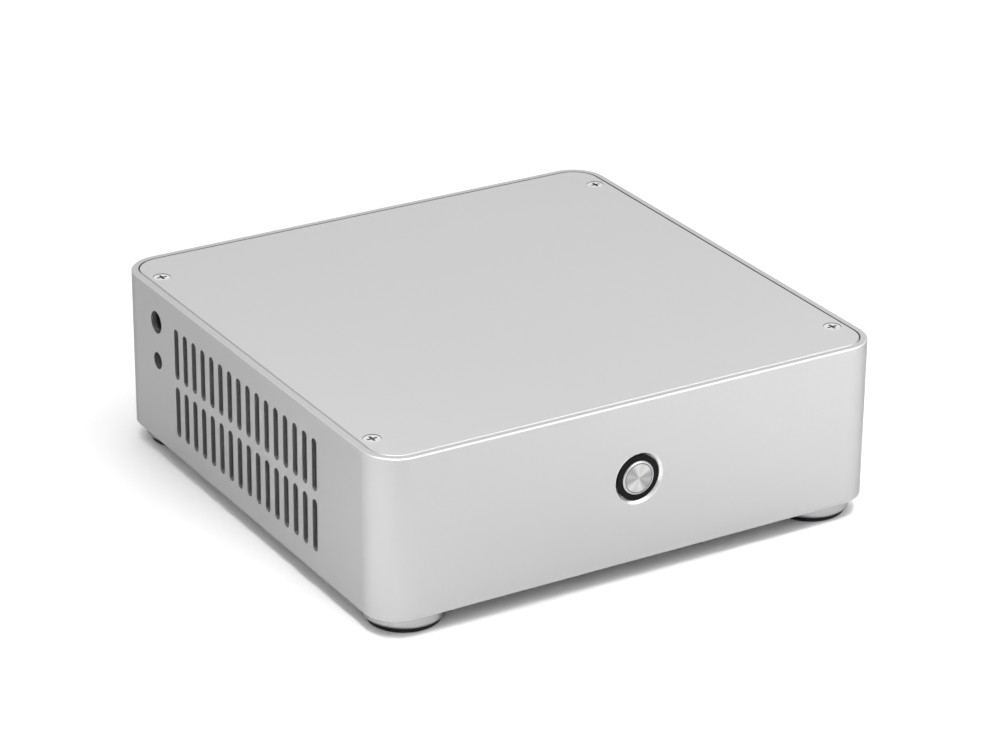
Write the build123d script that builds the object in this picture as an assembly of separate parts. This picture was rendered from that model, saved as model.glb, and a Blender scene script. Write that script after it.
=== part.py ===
from build123d import *

import math
import os

# Small aluminium desktop computer: an extruded band closed by two plates, with its board, cooler and drive.
# Millimetres. +X is right and +Y is back, seen from the front, and +Z is up. The origin is on the surface
# that the feet stand on, under the middle of the case. Each node is written to parts/NODE.step.

# ---- case ----
WIDTH = 200.0
DEPTH = 196.0
BAND_HEIGHT = 60.0
CORNER_R = 13.0
WALL = 2.5
EDGE_CHAMFER = 0.4
PLATE_GAP = 0.35
COVER_THICK = 3.0
BASE_THICK = 2.0
PLATE_CHAMFER = 0.3

# ---- feet ----
FOOT_HEIGHT = 6.5
FOOT_METAL_HEIGHT = 4.6
FOOT_R = 14.6
FOOT_ROUND = 1.3
FOOT_INSET_X = 17.3
FOOT_INSET_Y = 15.9
PAD_R = 13.0
PAD_HOLE_R = 4.5
PAD_SEAT_DEPTH = 1.0
PAD_ROUND = 0.5
FOOT_COUNTERBORE_R = 3.6
FOOT_COUNTERBORE_DEPTH = 2.4

# ---- screw posts of the band ----
POST_INSET_X = 7.6
POST_INSET_Y = 19.6
POST_R = 3.4
TAP_DEPTH = 9.0

# ---- vents, filter pockets and side holes ----
SLOT_COLUMNS = 16
SLOT_PITCH = 6.93
SLOT_WIDTH = 3.4
SLOT_LENGTH = 19.5
SLOT_ROW_GAP = 3.2
SLOT_CENTRE_HEIGHT = 29.7
VENT_WALL = 1.2
FILTER_BORDER = 3.0
FILTER_MARGIN = 0.8
FILTER_GAP = 0.2
MESH_THICK = 0.4
JACK_Y = 68.2
JACK_HEIGHT = 47.6
JACK_HOLE_R = 4.2
JACK_RECESS = 1.6
ANTENNA_Y = 67.8
ANTENNA_HEIGHT = 32.6
ANTENNA_HOLE_R = 3.2

# ---- M3 hardware ----
M3_R = 1.5
M3_CLEAR_R = 1.7
M3_TAP_R = 1.6
CSK_HEAD_R = 3.0
CSK_DEPTH = 1.6
CSK_REACH = 12.0
PAN_HEAD_R = 2.8
PAN_HEAD_H = 1.9
CSK_GAP = 0.15
CSK_SUNK = 0.15
RECESS_LONG = 3.8
RECESS_WIDE = 0.9
RECESS_DEEP = 1.1
TIP_CHAMFER = 0.4
PAN_HEAD_ROUND = 0.8
FIT = 0.05

# ---- power button ----
BUTTON_HEIGHT = 31.2
BUTTON_RIM_R = 9.5
BUTTON_SEAT_R = 8.6
BUTTON_SEAT_DEPTH = 1.5
BUTTON_BARREL_R = 7.5
BUTTON_CAP_R = 6.15
BUTTON_RUNNING_GAP = 0.07
BUTTON_RING_RECESS = 0.6
BUTTON_CAP_RECESS = 0.1
BUTTON_TRAVEL = 1.5
BUTTON_CAP_THICK = 3.0
BUTTON_LIP = 3.4
CHAMBER_R = BUTTON_CAP_R + 0.75
PLUNGER_R = BUTTON_CAP_R - 0.25
PLUNGER_LENGTH = 6.0
COLLAR_R = CHAMBER_R - 0.3
COLLAR_THICK = 1.5
SPIGOT_R = 2.6
SPIGOT_LENGTH = 1.6
BARREL_LENGTH = 15.0
BARREL_BACK_THICK = 1.6
BARREL_PLUG_THICK = 1.5
TERMINAL_REACH = 5.0
TERMINAL_X = 3.2
NUT_FLATS = 20.0
NUT_THICK = 2.5
SPRING_R = 4.1
SPRING_WIRE_R = 0.3
SPRING_TURNS = 5

# ---- motherboard ----
BOARD_SIZE = 170.0
BOARD_THICK = 1.6
BOARD_X = 2.0
BOARD_REAR_GAP = 1.5
STANDOFF_HEIGHT = 6.35
STANDOFF_R = 2.8
STANDOFF_STUB_R = 2.0
BOARD_HOLE_R = 1.9
BOARD_HOLE_INSET_X = 6.35
BOARD_HOLE_REAR = 10.16
BOARD_HOLE_REAR_RIGHT = 33.02
BOARD_HOLE_SPACING_Y = 154.94

# ---- rear ports ----
APERTURE_WIDTH = 158.75
APERTURE_HEIGHT = 44.45
APERTURE_BELOW_BOARD_TOP = 3.9
SHIELD_THICK = 0.6
SHIELD_FLANGE = 2.2
SHIELD_DEPTH = 2.0
PORT_PROUD = 0.1
PORT_CLEAR = 0.4
USB_OPENING = (12.6, 5.4)
USB_LENGTH = 12.5
USB_PITCH = 7.2
LAN_OPENING = (12.0, 8.4)
LAN_LENGTH = 13.0
AUDIO_PITCH = 14.0
AUDIO_BODY = (12.4, 12.8)
AUDIO_BORE_R = 1.8
AUDIO_LENGTH = 12.0

# ---- cooler ----
COOLER_SIZE = 80.0
COOLER_V = 14.0
CHIP_STACK = 2.4
SINK_BASE = 4.0
FIN_HEIGHT = 14.0
FIN_THICK = 1.3
FIN_COUNT = 17
SINK_POST = 8.0
SINK_SCREW_SPACING = 56.0
SINK_POCKET_R = 4.6
SINK_SPRING_LENGTH = 6.0
SINK_SPRING_R = 2.15
SINK_WIRE_R = 0.3
BACKPLATE_SIZE = 66.0
BACKPLATE_BORDER = 12.0
BACKPLATE_THICK = 2.0
INSULATOR_THICK = 0.5
FAN_HEIGHT = 15.0
FAN_HOLE_SPACING = 71.5
FAN_BORE_R = 38.0
FAN_TIP_GAP = 0.8
FAN_HUB_R = 15.5
FAN_HUB_WALL = 2.0
FAN_BLADES = 7
FAN_FLOOR = 2.0
SHAFT_R = 1.0
SHAFT_RUNNING_GAP = 0.05
BEARING_R = 2.6

# ---- drive and its bridge ----
BRIDGE_DECK_Z = 53.0
SHEET = 1.2
BRIDGE_LEG_X = 88.5
BRIDGE_TAB = 7.0
BRIDGE_Y = (-91.0, -20.5)
BRIDGE_LEG_Y = (-62.0, -24.0)
DRIVE_LENGTH = 100.0
DRIVE_WIDTH = 69.85
DRIVE_THICK = 7.0
DRIVE_X = -8.0
DRIVE_Y = -55.5
DRIVE_HOLES = (76.6, 61.72)

# ---- leads ----
BEND_SHARE = 0.45
DATA_WIRE_R = 1.7
POWER_WIRE_R = 1.1
DC_WIRE_R = 1.2
DC_TAG_Y = 2.2
BUTTON_WIRE_R = 0.8
FAN_WIRE_R = 0.7

# ---- derived planes ----
BAND_BOTTOM = FOOT_HEIGHT
BAND_TOP = FOOT_HEIGHT + BAND_HEIGHT
COVER_BOTTOM = BAND_TOP - COVER_THICK
BASE_TOP = BAND_BOTTOM + BASE_THICK
INNER_X = WIDTH / 2 - WALL
INNER_Y = DEPTH / 2 - WALL
FRONT = -DEPTH / 2
BACK = DEPTH / 2
BOARD_BOTTOM = BASE_TOP + STANDOFF_HEIGHT
BOARD_TOP = BOARD_BOTTOM + BOARD_THICK
BOARD_Y = INNER_Y - BOARD_REAR_GAP - BOARD_SIZE / 2
COOLER_Y = BOARD_Y + COOLER_V
SINK_BOTTOM = BOARD_TOP + CHIP_STACK
FIN_BOTTOM = SINK_BOTTOM + SINK_BASE
FAN_BOTTOM = FIN_BOTTOM + FIN_HEIGHT
FAN_TOP = FAN_BOTTOM + FAN_HEIGHT
BUTTON_Z = BAND_BOTTOM + BUTTON_HEIGHT
JACK_Z = BAND_BOTTOM + JACK_HEIGHT
ANTENNA_Z = BAND_BOTTOM + ANTENNA_HEIGHT
VENT_Z = BAND_BOTTOM + SLOT_CENTRE_HEIGHT
FOOT_X = WIDTH / 2 - FOOT_INSET_X
FOOT_Y = DEPTH / 2 - FOOT_INSET_Y
POST_X = WIDTH / 2 - POST_INSET_X
POST_Y = DEPTH / 2 - POST_INSET_Y
DRIVE_BOTTOM = BRIDGE_DECK_Z + SHEET
CORNERS = [(sx, sy) for sx in (-1, 1) for sy in (-1, 1)]
PORT_FACE = BACK - PORT_PROUD

BOARD_HOLES = [
    (BOARD_X - BOARD_SIZE / 2 + BOARD_HOLE_INSET_X, INNER_Y - BOARD_REAR_GAP - BOARD_HOLE_REAR),
    (BOARD_X + BOARD_SIZE / 2 - BOARD_HOLE_INSET_X, INNER_Y - BOARD_REAR_GAP - BOARD_HOLE_REAR_RIGHT),
    (
        BOARD_X - BOARD_SIZE / 2 + BOARD_HOLE_INSET_X,
        INNER_Y - BOARD_REAR_GAP - BOARD_HOLE_REAR - BOARD_HOLE_SPACING_Y,
    ),
    (
        BOARD_X + BOARD_SIZE / 2 - BOARD_HOLE_INSET_X,
        INNER_Y - BOARD_REAR_GAP - BOARD_HOLE_REAR - BOARD_HOLE_SPACING_Y,
    ),
]
POST_SPOTS = [(sx * POST_X, sy * POST_Y) for sx, sy in CORNERS]
FOOT_SPOTS = [(sx * FOOT_X, sy * FOOT_Y) for sx, sy in CORNERS]
BRIDGE_TAB_X = BRIDGE_LEG_X + SHEET + BRIDGE_TAB / 2
BRIDGE_TAB_Y = (BRIDGE_LEG_Y[0] + 8, BRIDGE_LEG_Y[1] - 8)
BRIDGE_SPOTS = [(side * BRIDGE_TAB_X, y) for side in (-1, 1) for y in BRIDGE_TAB_Y]

# Rear ports, from right to left: centre X from the board's middle, width, height and depth.
PORTS = {
    "usb2_stack": (66.0, 14.6, 15.8, 17.5),
    "video_port_left": (45.0, 15.4, 6.6, 12.0),
    "video_port_right": (24.0, 18.0, 6.6, 14.0),
    "lan_usb_stack": (1.0, 17.4, 29.2, 21.0),
    "usb3_stack": (-21.0, 14.6, 15.8, 17.5),
}
AUDIO_SPOTS = [-41.0 - i * AUDIO_PITCH for i in range(3)]

# Board furniture, as offsets from the board's middle.
SATA_SPOT = (68.0, -75.5)
SATA_BODY = (6.6, 17.0, 8.5)
DRIVE_POWER_SPOT = (68.0, -55.5)
DRIVE_POWER_BODY = (5.8, 12.5, 7.0)
DC_HEADER_SPOT = (-74.0, 50.0)
DC_HEADER_BODY = (9.6, 9.6, 12.8)
PANEL_HEADER_SPOT = (30.0, -80.0)
PIN_PITCH = 2.54
FAN_HEADER_SPOT = (-52.0, 36.0)
COIN_SPOT = (52.0, -46.0)
CHOKE_SPOTS = [(-60, 18), (-60, 4), (-60, -10), (56, 8)]
CAN_SPOTS = [(-71, v) for v in (22, 12, 2, -8, -18)] + [(68, 8), (68, 18), (68, 28), (56, 22)]
WIRELESS_SPOT = (60.0, 48.0)
WIRELESS_LIFT = 2.4
MEMORY_U = -38.0
MEMORY_WIDTH = 67.6
MEMORY_DEPTH = 30.0
MEMORY_THICK = 1.2
SOCKET_DEPTH = 6.5
MEMORY_ROWS = ((-41.0, 2.4, 4.6), (-34.0, 6.4, 9.0))


def block(x, y, z):
    """A box between pairs of coordinates."""
    size = [b - a for a, b in (x, y, z)]
    middle = [(a + b) / 2 for a, b in (x, y, z)]
    return Pos(*middle) * Box(*size)


def centred(x, y, z0, size):
    """A box of that size, centred on x and y, standing on z0."""
    return Pos(x, y, z0 + size[2] / 2) * Box(*size)


def rod_z(x, y, z0, z1, r):
    return Pos(x, y, (z0 + z1) / 2) * Cylinder(r, z1 - z0)


def rod_y(x, z, y0, y1, r):
    return Pos(x, (y0 + y1) / 2, z) * Rot(90, 0, 0) * Cylinder(r, y1 - y0)


def rod_x(y, z, x0, x1, r):
    return Pos((x0 + x1) / 2, y, z) * Rot(0, 90, 0) * Cylinder(r, x1 - x0)


def slab(width, depth, r, z0, z1):
    """A plate with rounded corners, centred on the Z axis."""
    return Pos(0, 0, z0) * extrude(RectangleRounded(width, depth, r), z1 - z0)


def group(solids):
    """Separate solids that share one node."""
    return Compound(children=[s for piece in solids for s in piece.solids()])


def cone_z(x, y, z0, z1, r0, r1):
    return Pos(x, y, (z0 + z1) / 2) * Cone(r0, r1, z1 - z0)


def cross_recess(z_top):
    """The cutter for a cross recess in a screw head whose top is at z_top."""
    depth = (z_top - RECESS_DEEP, z_top + 1)
    half_long, half_wide = RECESS_LONG / 2, RECESS_WIDE / 2
    return block((-half_long, half_long), (-half_wide, half_wide), depth) + block(
        (-half_wide, half_wide), (-half_long, half_long), depth
    )


def shank(length):
    rod = rod_z(0, 0, -length, -CSK_DEPTH, M3_R)
    return chamfer(max_edges(rod, Axis.Z, lowest=True), TIP_CHAMFER)


def countersunk_screw(length):
    """Head up, sunk just below Z 0."""
    head = cone_z(0, 0, -CSK_DEPTH, -CSK_SUNK, M3_R, CSK_HEAD_R)
    return head + shank(length) - cross_recess(-CSK_SUNK)


def pan_screw(length):
    """Head up, with the head's underside at Z 0."""
    head = rod_z(0, 0, -CSK_DEPTH, 0, M3_R) + rod_z(0, 0, 0, PAN_HEAD_H, PAN_HEAD_R)
    head = fillet(max_edges(head, Axis.Z), PAN_HEAD_ROUND)
    return head + shank(length) - cross_recess(PAN_HEAD_H)


def max_edges(shape, axis, lowest=False):
    """The edges of the face that is furthest along an axis."""
    return shape.faces().sort_by(axis)[0 if lowest else -1].edges()


def countersink(x, y, z_face, opens_down=False):
    """The cutter for a countersunk clearance hole whose mouth is on z_face."""
    cutter = cone_z(0, 0, -CSK_DEPTH, 0, M3_CLEAR_R, CSK_HEAD_R + CSK_GAP)
    cutter += rod_z(0, 0, -CSK_REACH, 0, M3_CLEAR_R)
    turn = Rot(180, 0, 0) if opens_down else Rot(0, 0, 0)
    return Pos(x, y, z_face) * turn * cutter


# ---- case ----
def slot_spots():
    first = -(SLOT_COLUMNS - 1) * SLOT_PITCH / 2
    rise = (SLOT_LENGTH + SLOT_ROW_GAP) / 2
    return [(first + i * SLOT_PITCH, VENT_Z + side * rise) for i in range(SLOT_COLUMNS) for side in (-1, 1)]


def filter_window():
    """Width along Y and height along Z of the slotted area, with a margin round it."""
    width = (SLOT_COLUMNS - 1) * SLOT_PITCH + SLOT_WIDTH + 2 * FILTER_MARGIN
    height = 2 * SLOT_LENGTH + SLOT_ROW_GAP + 2 * FILTER_MARGIN
    return width, height


def outer_band():
    outline = extrude(RectangleRounded(WIDTH, DEPTH, CORNER_R), BAND_HEIGHT)
    rims = max_edges(outline, Axis.Z) + max_edges(outline, Axis.Z, lowest=True)
    outline = chamfer(rims, EDGE_CHAMFER)
    hollow = extrude(RectangleRounded(WIDTH - 2 * WALL, DEPTH - 2 * WALL, CORNER_R - WALL), BAND_HEIGHT)
    band = Pos(0, 0, BAND_BOTTOM) * (outline - hollow)
    for x, y in POST_SPOTS:
        side = math.copysign(1, x)
        web = sorted((x, side * (INNER_X + WALL / 2)))
        post = rod_z(x, y, BASE_TOP, COVER_BOTTOM, POST_R)
        post += block(web, (y - POST_R, y + POST_R), (BASE_TOP, COVER_BOTTOM))
        post -= rod_z(x, y, COVER_BOTTOM - TAP_DEPTH, COVER_BOTTOM, M3_TAP_R)
        post -= rod_z(x, y, BASE_TOP, BASE_TOP + TAP_DEPTH, M3_TAP_R)
        band += post
    window_y, window_z = filter_window()
    pocket = (window_y + 2 * (FILTER_BORDER + FILTER_GAP), window_z + 2 * (FILTER_BORDER + FILTER_GAP))
    cuts = []
    slot = SlotOverall(SLOT_LENGTH, SLOT_WIDTH, rotation=90)
    for y, z in slot_spots():
        cuts.append(extrude(Plane.YZ * Pos(y, z) * slot, WIDTH, both=True))
    pocket_shape = Plane.YZ * Pos(0, VENT_Z) * RectangleRounded(*pocket, FILTER_BORDER)
    cuts.append(extrude(pocket_shape, WIDTH / 2 - VENT_WALL, both=True))
    cuts.append(rod_x(JACK_Y, JACK_Z, -WIDTH, -INNER_X + 1, JACK_HOLE_R))
    cuts.append(rod_x(ANTENNA_Y, ANTENNA_Z, -WIDTH, -INNER_X + 1, ANTENNA_HOLE_R))
    cuts.append(button_hole())
    half, low = APERTURE_WIDTH / 2, aperture_bottom()
    cuts.append(block((-half, half), (INNER_Y - 1, BACK + 1), (low, low + APERTURE_HEIGHT)))
    return band - cuts


def aperture_bottom():
    return BOARD_TOP - APERTURE_BELOW_BOARD_TOP


def button_hole():
    rim_depth = BUTTON_RIM_R - BUTTON_SEAT_R
    cone = Cone(BUTTON_SEAT_R, BUTTON_RIM_R, rim_depth)
    rim = Pos(0, FRONT + rim_depth / 2, BUTTON_Z) * Rot(90, 0, 0) * cone
    seat = rod_y(0, BUTTON_Z, FRONT, FRONT + BUTTON_SEAT_DEPTH, BUTTON_SEAT_R)
    through = rod_y(0, BUTTON_Z, FRONT, -INNER_Y + 1, BUTTON_BARREL_R + FIT)
    return rim + seat + through


def plate(z0, z1):
    """A closing plate that fits inside the band."""
    width, depth = (size - 2 * (WALL + PLATE_GAP) for size in (WIDTH, DEPTH))
    return slab(width, depth, CORNER_R - WALL - PLATE_GAP, z0, z1)


def top_cover():
    cover = plate(COVER_BOTTOM, BAND_TOP)
    cover = chamfer(max_edges(cover, Axis.Z), PLATE_CHAMFER)
    return cover - [countersink(x, y, BAND_TOP) for x, y in POST_SPOTS]


def base_plate():
    base = plate(BAND_BOTTOM, BASE_TOP)
    base = chamfer(max_edges(base, Axis.Z, lowest=True), PLATE_CHAMFER)
    cuts = [countersink(x, y, BAND_BOTTOM, opens_down=True) for x, y in POST_SPOTS + BRIDGE_SPOTS]
    cuts += [rod_z(x, y, 0, BASE_TOP + 1, STANDOFF_STUB_R) for x, y in BOARD_HOLES]
    cuts += [rod_z(x, y, 0, BASE_TOP + 1, M3_TAP_R) for x, y in FOOT_SPOTS]
    return base - cuts


def cover_screws():
    return group([Pos(x, y, BAND_TOP) * countersunk_screw(COVER_THICK + 5) for x, y in POST_SPOTS])


def base_screws():
    flip = Rot(180, 0, 0)
    screws = [Pos(x, y, BAND_BOTTOM) * flip * countersunk_screw(BASE_THICK + 6) for x, y in POST_SPOTS]
    screws += [Pos(x, y, BAND_BOTTOM) * flip * countersunk_screw(BASE_THICK + 4) for x, y in BRIDGE_SPOTS]
    return group(screws)


def foot_shells():
    low = FOOT_HEIGHT - FOOT_METAL_HEIGHT
    shell = rod_z(0, 0, low, FOOT_HEIGHT, FOOT_R)
    shell = fillet(max_edges(shell, Axis.Z, lowest=True), FOOT_ROUND)
    shell -= rod_z(0, 0, low, low + PAD_SEAT_DEPTH, PAD_R + FIT)
    shell -= rod_z(0, 0, low, FOOT_HEIGHT, M3_CLEAR_R)
    shell -= rod_z(0, 0, low, low + FOOT_COUNTERBORE_DEPTH, FOOT_COUNTERBORE_R)
    return group([Pos(x, y, 0) * shell for x, y in FOOT_SPOTS])


def foot_pads():
    height = FOOT_HEIGHT - FOOT_METAL_HEIGHT + PAD_SEAT_DEPTH
    pad = fillet(max_edges(rod_z(0, 0, 0, height, PAD_R), Axis.Z, lowest=True), PAD_ROUND)
    pad -= rod_z(0, 0, 0, height, PAD_HOLE_R)
    return group([Pos(x, y, 0) * pad for x, y in FOOT_SPOTS])


def foot_screws():
    seat = FOOT_HEIGHT - FOOT_METAL_HEIGHT + FOOT_COUNTERBORE_DEPTH
    length = BASE_TOP - seat + 1.0
    return group([Pos(x, y, seat) * Rot(180, 0, 0) * pan_screw(length) for x, y in FOOT_SPOTS])


def filter_frames():
    window = filter_window()
    frames = []
    for side in (-1, 1):
        x = sorted((side * (WIDTH / 2 - VENT_WALL), side * INNER_X))
        width, height = (size + 2 * FILTER_BORDER for size in window)
        outside = RectangleRounded(width, height, FILTER_BORDER)
        ring = outside - RectangleRounded(*window, 1.0)
        frames.append(extrude(Plane.YZ.offset(x[0]) * Pos(0, VENT_Z) * ring, x[1] - x[0]))
    return group(frames)


def filter_meshes():
    window = filter_window()
    sheets = []
    for side in (-1, 1):
        x = side * (WIDTH / 2 - VENT_WALL) - (MESH_THICK if side > 0 else 0)
        sheet = RectangleRounded(window[0] - FIT, window[1] - FIT, 1.0)
        sheets.append(extrude(Plane.YZ.offset(x) * Pos(0, VENT_Z) * sheet, MESH_THICK))
    return group(sheets)


# ---- power button ----
def ring_face():
    return FRONT + BUTTON_RING_RECESS


def lip_back():
    return ring_face() + BUTTON_LIP


def button_ring():
    """The black ring and the switch barrel behind it, with a lip that keeps the plunger's collar in."""
    shoulder = FRONT + BUTTON_SEAT_DEPTH
    flange = rod_y(0, BUTTON_Z, ring_face(), shoulder, BUTTON_SEAT_R - 0.2)
    flange = fillet(max_edges(flange, Axis.Y, lowest=True), 0.25)
    barrel = rod_y(0, BUTTON_Z, shoulder, button_back_y(), BUTTON_BARREL_R - FIT)
    bore = rod_y(0, BUTTON_Z, ring_face(), lip_back(), BUTTON_CAP_R + BUTTON_RUNNING_GAP)
    return flange + barrel - bore - rod_y(0, BUTTON_Z, lip_back(), button_back_y(), CHAMBER_R)


def button_nut():
    hexagon = RegularPolygon(NUT_FLATS / 2, 6, major_radius=False)
    nut = extrude(Plane.XZ.offset(INNER_Y) * Pos(0, BUTTON_Z) * hexagon, -NUT_THICK)
    return nut - rod_y(0, BUTTON_Z, FRONT, 0, BUTTON_BARREL_R)


def button_back_y():
    return FRONT + BUTTON_SEAT_DEPTH + BARREL_LENGTH


def plug_face_y():
    return button_back_y() - BARREL_PLUG_THICK


def button_terminals():
    """The switch's back, with the fixed contact that ends the stroke and four terminals."""
    y = button_back_y()
    back = rod_y(0, BUTTON_Z, y, y + BARREL_BACK_THICK, BUTTON_BARREL_R - FIT)
    plug = rod_y(0, BUTTON_Z, plug_face_y(), y, CHAMBER_R - FIT)
    contact_y = plunger_back() + SPIGOT_LENGTH + BUTTON_TRAVEL + FIT
    contact = rod_y(0, BUTTON_Z, contact_y, plug_face_y(), SPIGOT_R)
    pin = block((-0.4, 0.4), (y + BARREL_BACK_THICK, y + TERMINAL_REACH), (BUTTON_Z - 1.2, BUTTON_Z + 1.2))
    pins = [Pos(x, 0, z) * pin for x, z in ((-TERMINAL_X, 0), (TERMINAL_X, 0), (0, -3.6), (0, 3.6))]
    return group([back + plug + contact, *pins])


def button_cap():
    face = FRONT + BUTTON_CAP_RECESS
    cap = rod_y(0, BUTTON_Z, face, face + BUTTON_CAP_THICK, BUTTON_CAP_R)
    return chamfer(max_edges(cap, Axis.Y, lowest=True), 0.35)


def plunger_back():
    return FRONT + BUTTON_CAP_RECESS + BUTTON_CAP_THICK + PLUNGER_LENGTH


def button_plunger():
    stem = rod_y(0, BUTTON_Z, FRONT + BUTTON_CAP_RECESS + BUTTON_CAP_THICK, plunger_back(), PLUNGER_R)
    collar = rod_y(0, BUTTON_Z, lip_back() + FIT, lip_back() + FIT + COLLAR_THICK, COLLAR_R)
    spigot = rod_y(0, BUTTON_Z, plunger_back(), plunger_back() + SPIGOT_LENGTH, SPIGOT_R)
    return stem + collar + spigot


def coil(length, turns, r, wire_r):
    """A compression spring standing on Z 0."""
    rise = length - 2 * wire_r
    path = Pos(0, 0, wire_r) * Helix(rise / turns, rise, r)
    start = Plane(origin=path @ 0, z_dir=path % 0)
    return sweep(start * Circle(wire_r), path, is_frenet=True)


def button_spring():
    length = plug_face_y() - plunger_back() - 2 * FIT
    spring = coil(length, SPRING_TURNS, SPRING_R, SPRING_WIRE_R)
    return Pos(0, plunger_back() + FIT, BUTTON_Z) * Rot(-90, 0, 0) * spring


# ---- board ----
def on_board(u, v):
    return BOARD_X + u, BOARD_Y + v


def sink_spots():
    half = SINK_SCREW_SPACING / 2
    return [(BOARD_X + sx * half, COOLER_Y + sy * half) for sx, sy in CORNERS]


def motherboard():
    outline = RectangleRounded(BOARD_SIZE, BOARD_SIZE, 1.5)
    board = Pos(BOARD_X, BOARD_Y, BOARD_BOTTOM) * extrude(outline, BOARD_THICK)
    cuts = [rod_z(x, y, BOARD_BOTTOM - 1, BOARD_TOP + 1, BOARD_HOLE_R) for x, y in BOARD_HOLES]
    cuts += [rod_z(x, y, BOARD_BOTTOM - 1, BOARD_TOP + 1, M3_CLEAR_R) for x, y in sink_spots()]
    return board - cuts


def board_standoffs():
    solids = []
    for x, y in BOARD_HOLES:
        hexagon = RegularPolygon(STANDOFF_R, 6, major_radius=False)
        post = Pos(x, y, BASE_TOP) * extrude(hexagon, STANDOFF_HEIGHT)
        stub = rod_z(x, y, BAND_BOTTOM + 0.1, BASE_TOP, STANDOFF_STUB_R - FIT)
        solids.append(post + stub - rod_z(x, y, BASE_TOP, BOARD_BOTTOM + 1, M3_TAP_R))
    return group(solids)


def board_screws():
    return group([Pos(x, y, BOARD_TOP) * pan_screw(BOARD_THICK + 4) for x, y in BOARD_HOLES])


def processor():
    x, y = BOARD_X, COOLER_Y
    carrier = centred(x, y, BOARD_TOP, (28.0, 25.0, 1.2))
    die = centred(x, y, BOARD_TOP + 1.2, (13.0, 11.0, CHIP_STACK - 1.2))
    return carrier + die


def heatsink():
    x, y = BOARD_X, COOLER_Y
    sink = centred(x, y, SINK_BOTTOM, (COOLER_SIZE, COOLER_SIZE, SINK_BASE))
    pitch = (COOLER_SIZE - FIN_THICK) / (FIN_COUNT - 1)
    first = x - COOLER_SIZE / 2 + FIN_THICK / 2
    fin = centred(first, y, FIN_BOTTOM, (FIN_THICK, COOLER_SIZE, FIN_HEIGHT))
    fins = [Pos(i * pitch, 0, 0) * fin for i in range(FIN_COUNT)]
    inset = (COOLER_SIZE - SINK_POST) / 2
    post = centred(x, y, FIN_BOTTOM, (SINK_POST, SINK_POST, FIN_HEIGHT))
    posts = [Pos(sx * inset, sy * inset, 0) * post for sx, sy in CORNERS]
    sink = sink + fins + posts
    cuts = [rod_z(px, py, FIN_BOTTOM, FAN_BOTTOM + 1, SINK_POCKET_R) for px, py in sink_spots()]
    cuts += [rod_z(px, py, SINK_BOTTOM - 1, FIN_BOTTOM + 1, M3_CLEAR_R) for px, py in sink_spots()]
    cuts += [rod_z(px, py, FAN_BOTTOM - 10, FAN_BOTTOM + 1, M3_TAP_R) for px, py in fan_spots()]
    return sink - cuts


def heatsink_screws():
    length = FIN_BOTTOM - BOARD_BOTTOM + SINK_SPRING_LENGTH + INSULATOR_THICK + BACKPLATE_THICK
    return group([Pos(x, y, FIN_BOTTOM + SINK_SPRING_LENGTH) * pan_screw(length) for x, y in sink_spots()])


def heatsink_springs():
    spring = coil(SINK_SPRING_LENGTH, 5, SINK_SPRING_R, SINK_WIRE_R)
    return group([Pos(x, y, FIN_BOTTOM) * spring for x, y in sink_spots()])


def under_board_plate(top, thick, hole_r):
    """A square frame under the board that takes the cooler's four screws."""
    x, y = BOARD_X, COOLER_Y
    inside = BACKPLATE_SIZE - 2 * BACKPLATE_BORDER
    outline = RectangleRounded(BACKPLATE_SIZE, BACKPLATE_SIZE, 6) - RectangleRounded(inside, inside, 4)
    sheet = Pos(x, y, top - thick) * extrude(outline, thick)
    return sheet - [rod_z(px, py, top - thick, top, hole_r) for px, py in sink_spots()]


def cooler_insulator():
    return under_board_plate(BOARD_BOTTOM, INSULATOR_THICK, M3_CLEAR_R)


def cooler_backplate():
    return under_board_plate(BOARD_BOTTOM - INSULATOR_THICK, BACKPLATE_THICK, M3_TAP_R)


# ---- fan ----
def fan_spots():
    half = FAN_HOLE_SPACING / 2
    return [(BOARD_X + sx * half, COOLER_Y + sy * half) for sx, sy in CORNERS]


def fan_frame():
    x, y = BOARD_X, COOLER_Y
    frame = Pos(x, y, FAN_BOTTOM) * extrude(RectangleRounded(COOLER_SIZE, COOLER_SIZE, 4), FAN_HEIGHT)
    frame -= rod_z(x, y, FAN_BOTTOM - 1, FAN_TOP + 1, FAN_BORE_R)
    frame += rod_z(x, y, FAN_BOTTOM, FAN_BOTTOM + FAN_FLOOR, FAN_HUB_R - 0.5)
    arm = block((FAN_HUB_R - 2, FAN_BORE_R + 1), (-2, 2), (FAN_BOTTOM, FAN_BOTTOM + FAN_FLOOR))
    frame = frame + [Pos(x, y, 0) * Rot(0, 0, 45 + 90 * i) * arm for i in range(4)]
    flange = 3.0
    for (sx, sy), (hx, hy) in zip(CORNERS, fan_spots()):
        reach = 6.0
        notch = block(
            sorted((hx - sx * reach / 2, hx + sx * reach)),
            sorted((hy - sy * reach / 2, hy + sy * reach)),
            (FAN_BOTTOM + flange, FAN_TOP - flange),
        )
        clear = rod_z(x, y, FAN_BOTTOM, FAN_TOP, FAN_BORE_R + 1.6)
        frame -= notch - clear
        frame -= rod_z(hx, hy, FAN_BOTTOM - 1, FAN_TOP + 1, 2.15)
    return frame - rod_z(x, y, FAN_BOTTOM - 1, FAN_TOP, BEARING_R + FIT)


def fan_bearing():
    x, y = BOARD_X, COOLER_Y
    sleeve = rod_z(x, y, FAN_BOTTOM + 0.4, FAN_TOP - 4.0, BEARING_R)
    return sleeve - rod_z(x, y, FAN_BOTTOM + 1.4, FAN_TOP, SHAFT_R + SHAFT_RUNNING_GAP)


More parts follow.
